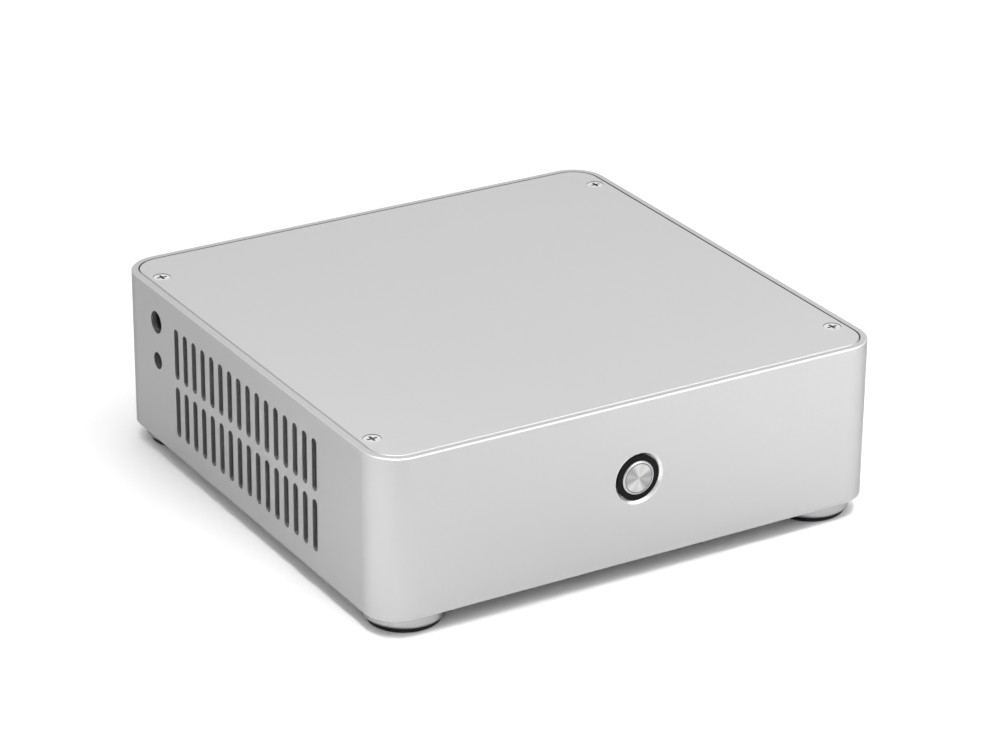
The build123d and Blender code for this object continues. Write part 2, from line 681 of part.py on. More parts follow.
def fan_stator():
    x, y = BOARD_X, COOLER_Y
    low, high = FAN_BOTTOM + FAN_FLOOR, FAN_TOP - 5.0
    core = rod_z(x, y, low + 1.5, high, 6.0)
    tooth = block((5, 10.5), (-3.2, 3.2), (low + 1.5, high - 0.5))
    teeth = [Pos(x, y, 0) * Rot(0, 0, 45 + 90 * i) * tooth for i in range(4)]
    shoes = rod_z(x, y, low + 2.5, high - 1.5, 12.6) - rod_z(x, y, low, high, 10.2)
    shoes -= [Pos(x, y, 0) * Rot(0, 0, 90 * i) * block((6, 14), (-1.2, 1.2), (low, high)) for i in range(4)]
    board = rod_z(x, y, low, low + 1.5, 12.0)
    stator = core + teeth + shoes + board
    return stator - rod_z(x, y, low - 1, high + 1, BEARING_R + FIT)


def fan_blade(x, y, turn):
    """One swept blade, lofted from the hub wall outwards."""
    middle = FAN_BOTTOM + FAN_FLOOR + (FAN_HEIGHT - FAN_FLOOR) / 2
    stations = 4
    root, tip = FAN_HUB_R - FAN_HUB_WALL / 2, FAN_BORE_R - 1.2
    sections = []
    for i in range(stations):
        share = i / (stations - 1)
        radius = root + share * (tip - root)
        sweep_angle = math.radians(turn + 16 * share * share)
        pitch = math.radians(42 - 15 * share)
        out = (math.cos(sweep_angle), math.sin(sweep_angle), 0)
        along = (-out[1] * math.cos(pitch), out[0] * math.cos(pitch), math.sin(pitch))
        where = Plane(origin=(x + radius * out[0], y + radius * out[1], middle), x_dir=along, z_dir=out)
        sections.append(where * Rectangle(11.0 + 8.0 * share, 1.3))
    blade = loft(sections)
    return blade & rod_z(x, y, FAN_BOTTOM + FAN_FLOOR + 1, FAN_TOP - 1, FAN_BORE_R - FAN_TIP_GAP)


def fan_rotor():
    x, y = BOARD_X, COOLER_Y
    low, high = FAN_BOTTOM + FAN_FLOOR + 1.0, FAN_TOP - 1.0
    hub = rod_z(x, y, low, high, FAN_HUB_R)
    hub = fillet(max_edges(hub, Axis.Z), 1.0)
    blades = [fan_blade(x, y, 360 / FAN_BLADES * i) for i in range(FAN_BLADES)]
    rotor = hub + blades
    rotor -= rod_z(x, y, low - 1, high - 1.6, FAN_HUB_R - FAN_HUB_WALL)
    return rotor + rod_z(x, y, FAN_BOTTOM + 1.8, high - 1.0, SHAFT_R)


def fan_screws():
    return group([Pos(x, y, FAN_TOP) * pan_screw(FAN_HEIGHT + 7) for x, y in fan_spots()])


# ---- memory ----
def memory_sockets():
    x = BOARD_X + MEMORY_U
    sockets = []
    for v, lift, height in MEMORY_ROWS:
        y = BOARD_Y + v
        width = MEMORY_WIDTH + 6
        body = block((x - width / 2, x + width / 2), (y, y + SOCKET_DEPTH), (BOARD_TOP, BOARD_TOP + height))
        slot = block(
            (x - MEMORY_WIDTH / 2 - 0.3, x + MEMORY_WIDTH / 2 + 0.3),
            (y - 1, y + 4.2),
            (BOARD_TOP + lift - 0.2, BOARD_TOP + lift + MEMORY_THICK + 0.2),
        )
        arms = []
        arm_z = (BOARD_TOP + lift - 1.6, BOARD_TOP + lift + MEMORY_THICK + 1)
        for side in (-1, 1):
            inner = x + side * (MEMORY_WIDTH / 2 + 0.4)
            outer = x + side * width / 2
            arms.append(block(sorted((inner, outer)), (y - 20, y), arm_z))
        sockets.append(body - slot + arms)
    return group(sockets)


def memory_module(row):
    v, lift, _ = MEMORY_ROWS[row]
    x, y = BOARD_X + MEMORY_U, BOARD_Y + v + 4.0
    z = BOARD_TOP + lift
    card = block((x - MEMORY_WIDTH / 2, x + MEMORY_WIDTH / 2), (y - MEMORY_DEPTH, y), (z, z + MEMORY_THICK))
    chips = [
        centred(x + dx, y - 15.5, z + MEMORY_THICK, (9.5, 12.0, 0.9)) for dx in (-26.0, -13.0, 13.0, 26.0)
    ]
    notches = [
        rod_z(x + side * MEMORY_WIDTH / 2, y - 20, z - 1, z + 3, 0.9) for side in (-1, 1)
    ]
    return card + chips - notches


# ---- rear ports ----
def port_box(name):
    """X, Y and Z limits of a rear port's body."""
    u, width, height, depth = PORTS[name]
    x = BOARD_X + u
    return (x - width / 2, x + width / 2), (PORT_FACE - depth, PORT_FACE), (BOARD_TOP, BOARD_TOP + height)


def usb_openings(name):
    """Bottom Z of each of a stack's two openings, and the stack's middle X."""
    x, _, z = port_box(name)
    return (x[0] + x[1]) / 2, [z[0] + 1.5 + i * USB_PITCH for i in range(2)]


def usb_stack(name):
    body = block(*port_box(name))
    x, levels = usb_openings(name)
    for z in levels:
        body -= block(
            (x - USB_OPENING[0] / 2, x + USB_OPENING[0] / 2),
            (PORT_FACE - USB_LENGTH, PORT_FACE + 1),
            (z, z + USB_OPENING[1]),
        )
    return body


def flat_port(name, opening):
    """A video port: a shell with one flat opening."""
    x, y, z = port_box(name)
    middle = (x[0] + x[1]) / 2
    low = z[0] + (z[1] - z[0] - opening[1]) / 2
    hole = block(
        (middle - opening[0] / 2, middle + opening[0] / 2), (y[0] + 2, y[1] + 1), (low, low + opening[1])
    )
    hole = chamfer(hole.edges().filter_by(Axis.Y).sort_by(Axis.Z)[:2], 1.4)
    return block(x, y, z) - hole


def video_port_left():
    return flat_port("video_port_left", (14.0, 4.6))


def video_port_right():
    return flat_port("video_port_right", (16.2, 4.8))


def lan_box():
    """X, Y and Z limits of the network socket's opening."""
    x, y, z = port_box("lan_usb_stack")
    middle = (x[0] + x[1]) / 2
    top = z[1] - 2.2
    half = LAN_OPENING[0] / 2
    return (middle - half, middle + half), (PORT_FACE - LAN_LENGTH, PORT_FACE), (top - LAN_OPENING[1], top)


def lan_usb_stack():
    x, y, z = lan_box()
    body = usb_stack("lan_usb_stack") - block(x, (y[0], y[1] + 1), z)
    latch = block(((x[0] + x[1]) / 2 - 3, (x[0] + x[1]) / 2 + 3), (y[0], y[1] + 1), (z[0] - 1.4, z[0]))
    return body - latch


def audio_jacks():
    jacks = []
    for u in AUDIO_SPOTS:
        x = BOARD_X + u
        z = BOARD_TOP + AUDIO_BODY[1] / 2
        body = centred(x, PORT_FACE - 8.5, BOARD_TOP, (AUDIO_BODY[0], 13.0, AUDIO_BODY[1]))
        nose = rod_y(x, z, PORT_FACE - 2, PORT_FACE, 4.0)
        jacks.append(body + nose - rod_y(x, z, PORT_FACE - AUDIO_LENGTH, PORT_FACE + 1, AUDIO_BORE_R))
    return group(jacks)


def port_tongues():
    """The contact tongues inside the rear ports."""
    tongues = []
    for name in ("usb2_stack", "lan_usb_stack", "usb3_stack"):
        x, levels = usb_openings(name)
        for z in levels:
            low, y = z + USB_OPENING[1] / 2 + 0.2, (PORT_FACE - USB_LENGTH, PORT_FACE - 1.2)
            tongues.append(block((x - 5.2, x + 5.2), y, (low, low + 1.8)))
    for name, half in (("video_port_left", 5.6), ("video_port_right", 6.6)):
        x, y, z = port_box(name)
        middle, low = (x[0] + x[1]) / 2, (z[0] + z[1]) / 2 - 0.6
        tongues.append(block((middle - half, middle + half), (y[0] + 2, PORT_FACE - 1.5), (low, low + 1.4)))
    return group(tongues)


def io_shield():
    """A stamped tray that fills the rear opening, with a flange behind the rear wall."""
    z0 = aperture_bottom() + FIT
    z1 = z0 + APERTURE_HEIGHT - 2 * FIT
    half = APERTURE_WIDTH / 2 - FIT
    grow = SHIELD_FLANGE
    face = INNER_Y + SHIELD_DEPTH
    tray = block((-half, half), (INNER_Y - SHIELD_THICK, face), (z0, z1))
    tray += block((-half - grow, half + grow), (INNER_Y - SHIELD_THICK, INNER_Y), (z0 - grow, z1 + grow))
    inner = SHIELD_THICK
    tray -= block((-half + inner, half - inner), (0, face - SHIELD_THICK), (z0 + inner, z1 - inner))
    for name in PORTS:
        x, _, z = port_box(name)
        low = max(z[0] - PORT_CLEAR, z0 + inner)
        tray -= block((x[0] - PORT_CLEAR, x[1] + PORT_CLEAR), (0, BACK), (low, z[1] + PORT_CLEAR))
    for u in AUDIO_SPOTS:
        tray -= rod_y(BOARD_X + u, BOARD_TOP + AUDIO_BODY[1] / 2, 0, BACK, 4.0 + PORT_CLEAR)
    return tray


# ---- board furniture ----
def coin_cell_holder():
    x, y = on_board(*COIN_SPOT)
    holder = rod_z(x, y, BOARD_TOP, BOARD_TOP + 4.6, 12.2)
    holder -= rod_z(x, y, BOARD_TOP + 1.0, BOARD_TOP + 6, 10.3)
    return holder - block((x - 4, x + 4), (y - 14, y - 8), (BOARD_TOP + 1, BOARD_TOP + 6))


def coin_cell():
    x, y = on_board(*COIN_SPOT)
    cell = rod_z(x, y, BOARD_TOP + 1.0, BOARD_TOP + 4.2, 10.0)
    return fillet(max_edges(cell, Axis.Z), 0.4)


def inductors():
    solids = []
    for u, v in CHOKE_SPOTS:
        x, y = on_board(u, v)
        choke = centred(x, y, BOARD_TOP, (10.0, 10.0, 6.5))
        solids.append(chamfer(choke.edges().filter_by(Axis.Z), 1.0))
    return group(solids)


def capacitors():
    solids = []
    for u, v in CAN_SPOTS:
        x, y = on_board(u, v)
        can = rod_z(x, y, BOARD_TOP, BOARD_TOP + 8.0, 3.15)
        solids.append(fillet(max_edges(can, Axis.Z), 0.4))
    return group(solids)


def board_chips():
    chips = []
    for u, v, size in (
        (18, -52, (14.0, 14.0, 1.2)),
        (30, -34, (9.0, 9.0, 1.0)),
        (-46, 52, (7.0, 7.0, 1.0)),
        (52, -20, (5.0, 6.0, 1.4)),
        (74, -20, (5.0, 6.0, 1.4)),
        (-60, -22, (6.0, 5.0, 1.0)),
    ):
        chips.append(centred(*on_board(u, v), BOARD_TOP, size))
    return group(chips)


def header_pins(u, v, columns, rows):
    """A block of square pins in a low plastic strip."""
    x, y = on_board(u, v)
    strip = centred(x, y, BOARD_TOP, (columns * PIN_PITCH, rows * PIN_PITCH, 2.4))
    spots = GridLocations(PIN_PITCH, PIN_PITCH, columns, rows)
    pin = centred(x, y, BOARD_TOP + 2.4, (0.64, 0.64, 5.8))
    return strip + [spot * pin for spot in spots]


def board_headers():
    headers = [
        centred(*on_board(*SATA_SPOT), BOARD_TOP, SATA_BODY),
        centred(*on_board(*DRIVE_POWER_SPOT), BOARD_TOP, DRIVE_POWER_BODY),
        centred(*on_board(*DC_HEADER_SPOT), BOARD_TOP, DC_HEADER_BODY),
        centred(*on_board(*FAN_HEADER_SPOT), BOARD_TOP, (5.6, 10.0, 5.0)),
        header_pins(*PANEL_HEADER_SPOT, 5, 2),
    ]
    return group(headers)


def wireless_card():
    x, y = on_board(*WIRELESS_SPOT)
    low = BOARD_TOP + WIRELESS_LIFT
    card = centred(x, y, low, (22.0, 30.0, 0.8))
    can = centred(x, y - 2.0, low + 0.8, (17.0, 18.0, 1.3))
    return card + can - rod_z(x, y - 15.0, low - 1, low + 1, M3_CLEAR_R)


def wireless_socket():
    x, y = on_board(*WIRELESS_SPOT)
    body = centred(x, y + 15.5, BOARD_TOP, (21.6, 6.0, 4.4))
    low = BOARD_TOP + WIRELESS_LIFT - 0.1
    body -= block((x - 11.5, x + 11.5), (y + 12.0, y + 15.2), (low, low + 1.0))
    return body


def wireless_screw():
    """The card's stand-off and the screw in it."""
    x, y = on_board(*WIRELESS_SPOT)
    post = rod_z(x, y - 15.0, BOARD_TOP, BOARD_TOP + WIRELESS_LIFT, PAN_HEAD_R)
    post -= rod_z(x, y - 15.0, BOARD_TOP, BOARD_TOP + WIRELESS_LIFT, M3_TAP_R)
    screw = Pos(x, y - 15.0, BOARD_TOP + WIRELESS_LIFT + 0.8) * pan_screw(WIRELESS_LIFT + 0.6)
    return group([post, screw])


# ---- drive ----
def drive_spots():
    return [(DRIVE_X + sx * DRIVE_HOLES[0] / 2, DRIVE_Y + sy * DRIVE_HOLES[1] / 2) for sx, sy in CORNERS]


def drive_bridge():
    """A deck over the front of the board on two legs, with windows for air and for the drive's cables."""
    deck_z = (BRIDGE_DECK_Z, DRIVE_BOTTOM)
    outer = BRIDGE_LEG_X + SHEET
    bridge = block((-outer + 4, outer - 4), BRIDGE_Y, deck_z)
    bridge = chamfer(bridge.edges().filter_by(Axis.Z), 3)
    window_y = (BRIDGE_LEG_Y[0] + 7, BRIDGE_LEG_Y[1] - 7)
    for side in (-1, 1):
        shoulder = block(sorted((side * (outer - 6), side * outer)), BRIDGE_LEG_Y, deck_z)
        leg = block(sorted((side * BRIDGE_LEG_X, side * outer)), BRIDGE_LEG_Y, (BASE_TOP, DRIVE_BOTTOM))
        leg -= block(sorted((side * BRIDGE_LEG_X, side * outer)), window_y, (BASE_TOP + 9, BRIDGE_DECK_Z - 8))
        tab_x = sorted((side * outer, side * (outer + BRIDGE_TAB)))
        tab = block(tab_x, BRIDGE_LEG_Y, (BASE_TOP, BASE_TOP + SHEET))
        bridge += [shoulder, leg, tab]
    cuts = [rod_z(x, y, 0, BASE_TOP + 3, M3_TAP_R) for x, y in BRIDGE_SPOTS]
    cuts += [rod_z(x, y, BRIDGE_DECK_Z - 1, DRIVE_BOTTOM + 1, M3_CLEAR_R) for x, y in drive_spots()]
    drop = cable_drop_x()
    cuts.append(block((drop - 8, drop + 8), (BRIDGE_Y[0] + 8, BRIDGE_LEG_Y[1] - 6), deck_z))
    airflow = block((DRIVE_X - 28, DRIVE_X + 28), (DRIVE_Y - 16, DRIVE_Y + 16), deck_z)
    cuts.append(chamfer(airflow.edges().filter_by(Axis.Z), 6))
    return bridge - cuts


def drive_case():
    x = (DRIVE_X - DRIVE_LENGTH / 2, DRIVE_X + DRIVE_LENGTH / 2)
    y = (DRIVE_Y - DRIVE_WIDTH / 2, DRIVE_Y + DRIVE_WIDTH / 2)
    case = block(x, y, (DRIVE_BOTTOM, DRIVE_BOTTOM + DRIVE_THICK))
    case = fillet(case.edges().filter_by(Axis.Z), 2.0)
    case = chamfer(max_edges(case, Axis.Z), 0.4)
    cuts = [rod_z(hx, hy, DRIVE_BOTTOM - 1, DRIVE_BOTTOM + 3, M3_TAP_R) for hx, hy in drive_spots()]
    cuts.append(block((x[1] - 5, x[1] + 1), drive_socket_y(), (DRIVE_BOTTOM - 1, DRIVE_BOTTOM + 5.2)))
    return case - cuts


def drive_socket_y():
    """Y limits of the drive's connector notch, from the leads that enter it."""
    return data_y() - 8.0, power_y() + 12.0


def data_y():
    return BOARD_Y + SATA_SPOT[1]


def power_y():
    return BOARD_Y + DRIVE_POWER_SPOT[1]


def cable_drop_x():
    return BOARD_X + SATA_SPOT[0]


def drive_screws():
    head_side = Rot(180, 0, 0)
    return group([Pos(x, y, BRIDGE_DECK_Z) * head_side * pan_screw(SHEET + 2.4) for x, y in drive_spots()])


# ---- jack, leads and plugs ----
def dc_jack():
    y, z = JACK_Y, JACK_Z
    face = -WIDTH / 2 + JACK_RECESS
    barrel = rod_x(y, z, face, -INNER_X, JACK_HOLE_R - 0.1)
    flange = rod_x(y, z, -INNER_X, -INNER_X + 1.4, 6.0)
    body = rod_x(y, z, -INNER_X + 1.4, -INNER_X + 13.0, 5.0)
    shell = barrel + flange + body - rod_x(y, z, face - 1, face + 10.0, 3.1)
    pin = rod_x(y, z, face + 1.2, face + 10.0, 1.1)
    pin = fillet(max_edges(pin, Axis.X, lowest=True), 0.6)
    tag = centred(-INNER_X + 15.0, y, z - 0.4, (4.0, 2.0, 0.8))
    tags = [Pos(0, dy, 0) * tag for dy in (-DC_TAG_Y, DC_TAG_Y)]
    return group([shell, pin, *tags])


bend_radii = {}


def lead(name, points, r):
    """A round lead of straight runs joined by arcs as large as the runs allow."""
    radii = []
    for a, b, c in zip(points, points[1:], points[2:]):
        before, after = Vector(*b) - Vector(*a), Vector(*c) - Vector(*b)
        turn = math.radians(before.get_angle(after))
        radii.append(BEND_SHARE * min(before.length, after.length) / math.tan(turn / 2))
    bend_radii.setdefault(name, []).extend(radii)
    path = FilletPolyline(*points, radius=radii)
    start = Plane(origin=path @ 0, z_dir=path % 0)
    return sweep(start * Circle(r), path)


def plug_size(name):
    return {
        "data": (8.0, 14.0, 8.0),
        "power": (7.0, 13.0, 7.0),
        "dc": (9.2, 9.2, 8.0),
        "panel": (5.2, 5.2, 9.0),
        "fan": (5.2, 9.6, 6.0),
    }[name]


def plug_spots():
    """Each board-side plug's middle, and the height that it stands on."""
    return {
        "data": (*on_board(*SATA_SPOT), BOARD_TOP + SATA_BODY[2]),
        "power": (*on_board(*DRIVE_POWER_SPOT), BOARD_TOP + DRIVE_POWER_BODY[2]),
        "dc": (*on_board(*DC_HEADER_SPOT), BOARD_TOP + DC_HEADER_BODY[2]),
        "panel": (*on_board(PANEL_HEADER_SPOT[0], PANEL_HEADER_SPOT[1]), BOARD_TOP + 8.2),
        "fan": (*on_board(*FAN_HEADER_SPOT), BOARD_TOP + 5.0),
    }


def plug_top(name):
    x, y, z = plug_spots()[name]
    return x, y, z + plug_size(name)[2]


def drive_plug_end():
    return DRIVE_X + DRIVE_LENGTH / 2 + 9.0


def lead_plugs():
    plugs = []
    for name, (x, y, z) in plug_spots().items():
        body = centred(x, y, z, plug_size(name))
        plugs.append(chamfer(max_edges(body, Axis.Z), 0.6))
    low = DRIVE_BOTTOM + 0.2
    start = DRIVE_X + DRIVE_LENGTH / 2 - 4.8
    for y, half in ((data_y(), 6.8), (power_y(), 10.6)):
        plugs.append(block((start, drive_plug_end()), (y - half, y + half), (low, low + 4.8)))
    return group(plugs)


def drive_side_lead(name, y, offsets, r):
    """Parallel wires from a drive plug, over the bridge's edge and down to a board plug."""
    x1, _, z1 = plug_top(name)
    z0 = DRIVE_BOTTOM + 2.6
    wires = []
    for shift in offsets:
        points = [
            (drive_plug_end(), y + shift, z0),
            (x1 - 4.0, y + shift, z0),
            (x1, y + shift, z0 - 6.5),
            (x1, y + shift, z1),
        ]
        wires.append(lead(f"{name} lead", points, r))
    return group(wires)


def data_cable():
    return drive_side_lead("data", data_y(), (-1.9, 1.9), DATA_WIRE_R)


def drive_power_lead():
    return drive_side_lead("power", power_y(), (-4.0, -1.35, 1.35, 4.0), POWER_WIRE_R)


def dc_lead():
    x1, y1, z1 = plug_top("dc")
    wires = []
    for shift in (-DC_TAG_Y, DC_TAG_Y):
        points = [
            (-INNER_X + 17.0, JACK_Y + shift, JACK_Z),
            (x1 - 2.5, JACK_Y + shift, JACK_Z),
            (x1 + shift * 0.3, y1 + 4.5 + shift, JACK_Z - 6.5),
            (x1 + shift * 0.5, y1 + shift * 0.8, z1 + 6.0),
            (x1 + shift * 0.5, y1 + shift * 0.8, z1),
        ]
        wires.append(lead("inlet lead", points, DC_WIRE_R))
    return group(wires)


def button_lead():
    """Two wires that turn towards the plug one above the other."""
    x1, y1, z1 = plug_top("panel")
    start_y = button_back_y() + TERMINAL_REACH
    wires = []
    for side in (-1, 1):
        x, level = side * TERMINAL_X, BUTTON_Z + 1.6 - side * 1.2
        points = [
            (x, start_y + FIT, BUTTON_Z),
            (x, start_y + 4.0, BUTTON_Z),
            (x + 6.0, y1 + 2.0, level),
            (x1 - 5.0, y1 + 3.0, level),
            (x1 - side * 1.27, y1, level - 1.5),
            (x1 - side * 1.27, y1, z1),
        ]
        wires.append(lead("button lead", points, BUTTON_WIRE_R))
    return group(wires)


def fan_lead():
    x1, y1, z1 = plug_top("fan")
    x0 = BOARD_X - COOLER_SIZE / 2
    wires = []
    for i in range(3):
        shift = (i - 1) * 2.2
        points = [
            (x0, y1 - 8.0 + shift, FAN_BOTTOM + 2.5),
            (x0 - 5.0, y1 - 8.0 + shift, FAN_BOTTOM + 2.5),
            (x1, y1 + shift, FAN_BOTTOM - 1.5),
            (x1, y1 + shift, z1),
        ]
        wires.append(lead("fan lead", points, FAN_WIRE_R))
    return group(wires)


NODES = {
    "outer_band": outer_band,
    "base_plate": base_plate,
    "base_screws": base_screws,
    "foot_shells": foot_shells,
    "foot_pads": foot_pads,
    "foot_screws": foot_screws,
    "filter_frames": filter_frames,
    "filter_meshes": filter_meshes,
    "io_shield": io_shield,
    "motherboard": motherboard,
    "board_standoffs": board_standoffs,
    "board_screws": board_screws,
    "processor": processor,
    "heatsink": heatsink,
    "heatsink_screws": heatsink_screws,
    "heatsink_springs": heatsink_springs,
    "cooler_insulator": cooler_insulator,
    "cooler_backplate": cooler_backplate,
    "fan_frame": fan_frame,
    "fan_stator": fan_stator,
    "fan_bearing": fan_bearing,
    "fan_rotor": fan_rotor,
    "fan_screws": fan_screws,
    "fan_lead": fan_lead,
    "memory_sockets": memory_sockets,
    "memory_module_lower": lambda: memory_module(0),
    "memory_module_upper": lambda: memory_module(1),
    "usb2_stack": lambda: usb_stack("usb2_stack"),
    "usb3_stack": lambda: usb_stack("usb3_stack"),
    "video_port_left": video_port_left,
    "video_port_right": video_port_right,
    "lan_usb_stack": lan_usb_stack,
    "audio_jacks": audio_jacks,
    "port_tongues": port_tongues,
    "coin_cell_holder": coin_cell_holder,
    "coin_cell": coin_cell,
    "inductors": inductors,
    "capacitors": capacitors,
    "board_chips": board_chips,
    "board_headers": board_headers,
    "wireless_card": wireless_card,
    "wireless_socket": wireless_socket,
    "wireless_screw": wireless_screw,
    "drive_bridge": drive_bridge,
    "drive_case": drive_case,
    "drive_screws": drive_screws,
    "lead_plugs": lead_plugs,
    "data_cable": data_cable,
    "drive_power_lead": drive_power_lead,
    "dc_jack": dc_jack,
    "dc_lead": dc_lead,
    "button_ring": button_ring,
    "button_nut": button_nut,
    "button_terminals": button_terminals,
    "button_lead": button_lead,
    "button_cap": button_cap,
    "button_plunger": button_plunger,
    "button_spring": button_spring,
    "top_cover": top_cover,
    "cover_screws": cover_screws,
}


def main():
    os.makedirs("parts", exist_ok=True)
    for name, make in NODES.items():
        export_step(make(), f"parts/{name}.step")
    for name, radii in bend_radii.items():
        print(f"{name}: bend radii {', '.join(f'{r:.1f}' for r in radii)} mm")


if __name__ == "__main__":
    main()
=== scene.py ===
import math
import random

import bmesh
import bpy
from mathutils import Matrix, Vector


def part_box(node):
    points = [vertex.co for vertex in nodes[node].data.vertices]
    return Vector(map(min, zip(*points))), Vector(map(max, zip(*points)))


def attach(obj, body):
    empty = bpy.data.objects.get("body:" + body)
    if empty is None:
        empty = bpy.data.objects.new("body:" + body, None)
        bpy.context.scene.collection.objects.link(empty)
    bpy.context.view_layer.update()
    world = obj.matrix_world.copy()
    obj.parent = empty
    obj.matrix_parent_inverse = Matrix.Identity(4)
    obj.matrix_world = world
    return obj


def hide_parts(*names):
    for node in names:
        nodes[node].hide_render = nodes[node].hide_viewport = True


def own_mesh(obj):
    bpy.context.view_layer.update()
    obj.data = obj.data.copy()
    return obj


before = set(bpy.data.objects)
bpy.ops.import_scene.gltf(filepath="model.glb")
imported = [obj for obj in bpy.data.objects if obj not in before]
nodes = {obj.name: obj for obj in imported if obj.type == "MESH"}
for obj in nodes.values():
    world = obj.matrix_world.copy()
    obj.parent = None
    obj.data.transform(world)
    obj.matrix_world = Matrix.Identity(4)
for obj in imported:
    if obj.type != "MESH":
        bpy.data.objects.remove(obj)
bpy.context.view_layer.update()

# camera, floor and light

camera = {
    "spot": (-0.62103, -1.04137, 0.58746), "azimuth": -30.949, "elevation": 24.432, "roll": 0.484,
    "lens": 133.23, "sensor": 36,
}
studio = {
    "floorSize": 16.0, "floorTone": 0.88, "floorRoughness": 0.9, "worldTone": 0.8,
    "aimHeight": 0.03,
    # bearing is counted from the front towards the left, rise from the floor upwards
    "lights": {
        "key": {"bearing": -50, "rise": 54, "reach": 2.0, "size": (2.0, 1.8), "power": 16},
        "back": {"bearing": -142, "rise": 31, "reach": 2.4, "size": (2.1, 1.2), "power": 8.5},
        "above": {"bearing": 60, "rise": 78, "reach": 2.6, "size": (2.4, 2.4), "power": 19},
        # two small lamps look straight down on the floor that the front and the left wall mirror
        "frontPool": {
            "bearing": 0, "rise": 90, "reach": 0.8, "size": (0.2, 0.2), "power": 0.55,
            "over": (0.2, -0.3), "spread": 50,
        },
        "leftPool": {
            "bearing": 0, "rise": 90, "reach": 0.5, "size": (0.08, 0.2), "power": 0.19,
            "over": (-0.22, -0.11), "spread": 50,
        },
    },
}


def placeCamera():
    data = bpy.data.cameras.new("camera")
    data.sensor_width = camera["sensor"]
    data.lens = camera["lens"]
    view = bpy.data.objects.new("camera", data)
    bpy.context.collection.objects.link(view)
    swing = Matrix.Rotation(math.radians(camera["azimuth"]), 4, "Z")
    tip = Matrix.Rotation(math.radians(90 - camera["elevation"]), 4, "X")
    roll = Matrix.Rotation(math.radians(camera["roll"]), 4, "Z")
    view.matrix_world = Matrix.Translation(camera["spot"]) @ swing @ tip @ roll
    bpy.context.scene.camera = view


def hangLight(name, bearing, rise, reach, size, power, over=(0, 0), spread=180):
    data = bpy.data.lights.new(name, "AREA")
    data.shape = "RECTANGLE"
    data.size, data.size_y = size
    data.energy = power
    data.spread = math.radians(spread)
    lamp = bpy.data.objects.new(name, data)
    bpy.context.collection.objects.link(lamp)
    around, up = math.radians(bearing), math.radians(rise)
    way = Vector((-math.sin(around) * math.cos(up), -math.cos(around) * math.cos(up), math.sin(up)))
    lamp.location = reach * way + Vector((*over, studio["aimHeight"]))
    lamp.rotation_euler = (-way).to_track_quat("-Z", "Y").to_euler()


# shader sums: Value is a socket that takes part in them, Shader a material that grows nodes


class Value:
    def __init__(self, shader, socket):
        self.shader = shader
        self.socket = socket

    def sum(self, operation, first, second=0.0):
        return self.shader.node("ShaderNodeMath", {"operation": operation}, {0: first, 1: second})

    def __add__(self, other):
        return self.sum("ADD", self, other)

    def __sub__(self, other):
        return self.sum("SUBTRACT", self, other)

    def __rsub__(self, other):
        return self.sum("SUBTRACT", other, self)

    def __mul__(self, other):
        return self.sum("MULTIPLY", self, other)

    def __truediv__(self, other):
        return self.sum("DIVIDE", self, other)

    def __gt__(self, other):
        return self.sum("GREATER_THAN", self, other)

    def __lt__(self, other):
        return self.sum("LESS_THAN", self, other)

    def __mod__(self, other):
        return self.sum("FLOORED_MODULO", self, other)

    def __abs__(self):
        return self.sum("ABSOLUTE", self)

    __radd__ = __add__
    __rmul__ = __mul__

    def root(self):
        return self.sum("SQRT", self)

    def cosine(self):
        return self.sum("COSINE", self)

    def most(self, other):
        return self.sum("MAXIMUM", self, other)

    def between(self, lower, upper):
        return (self > lower) * (self < upper)

    def zigzag(self):
        # runs 1, 0, 1 over each whole step
        return abs(self % 1.0 - 0.5) * 2


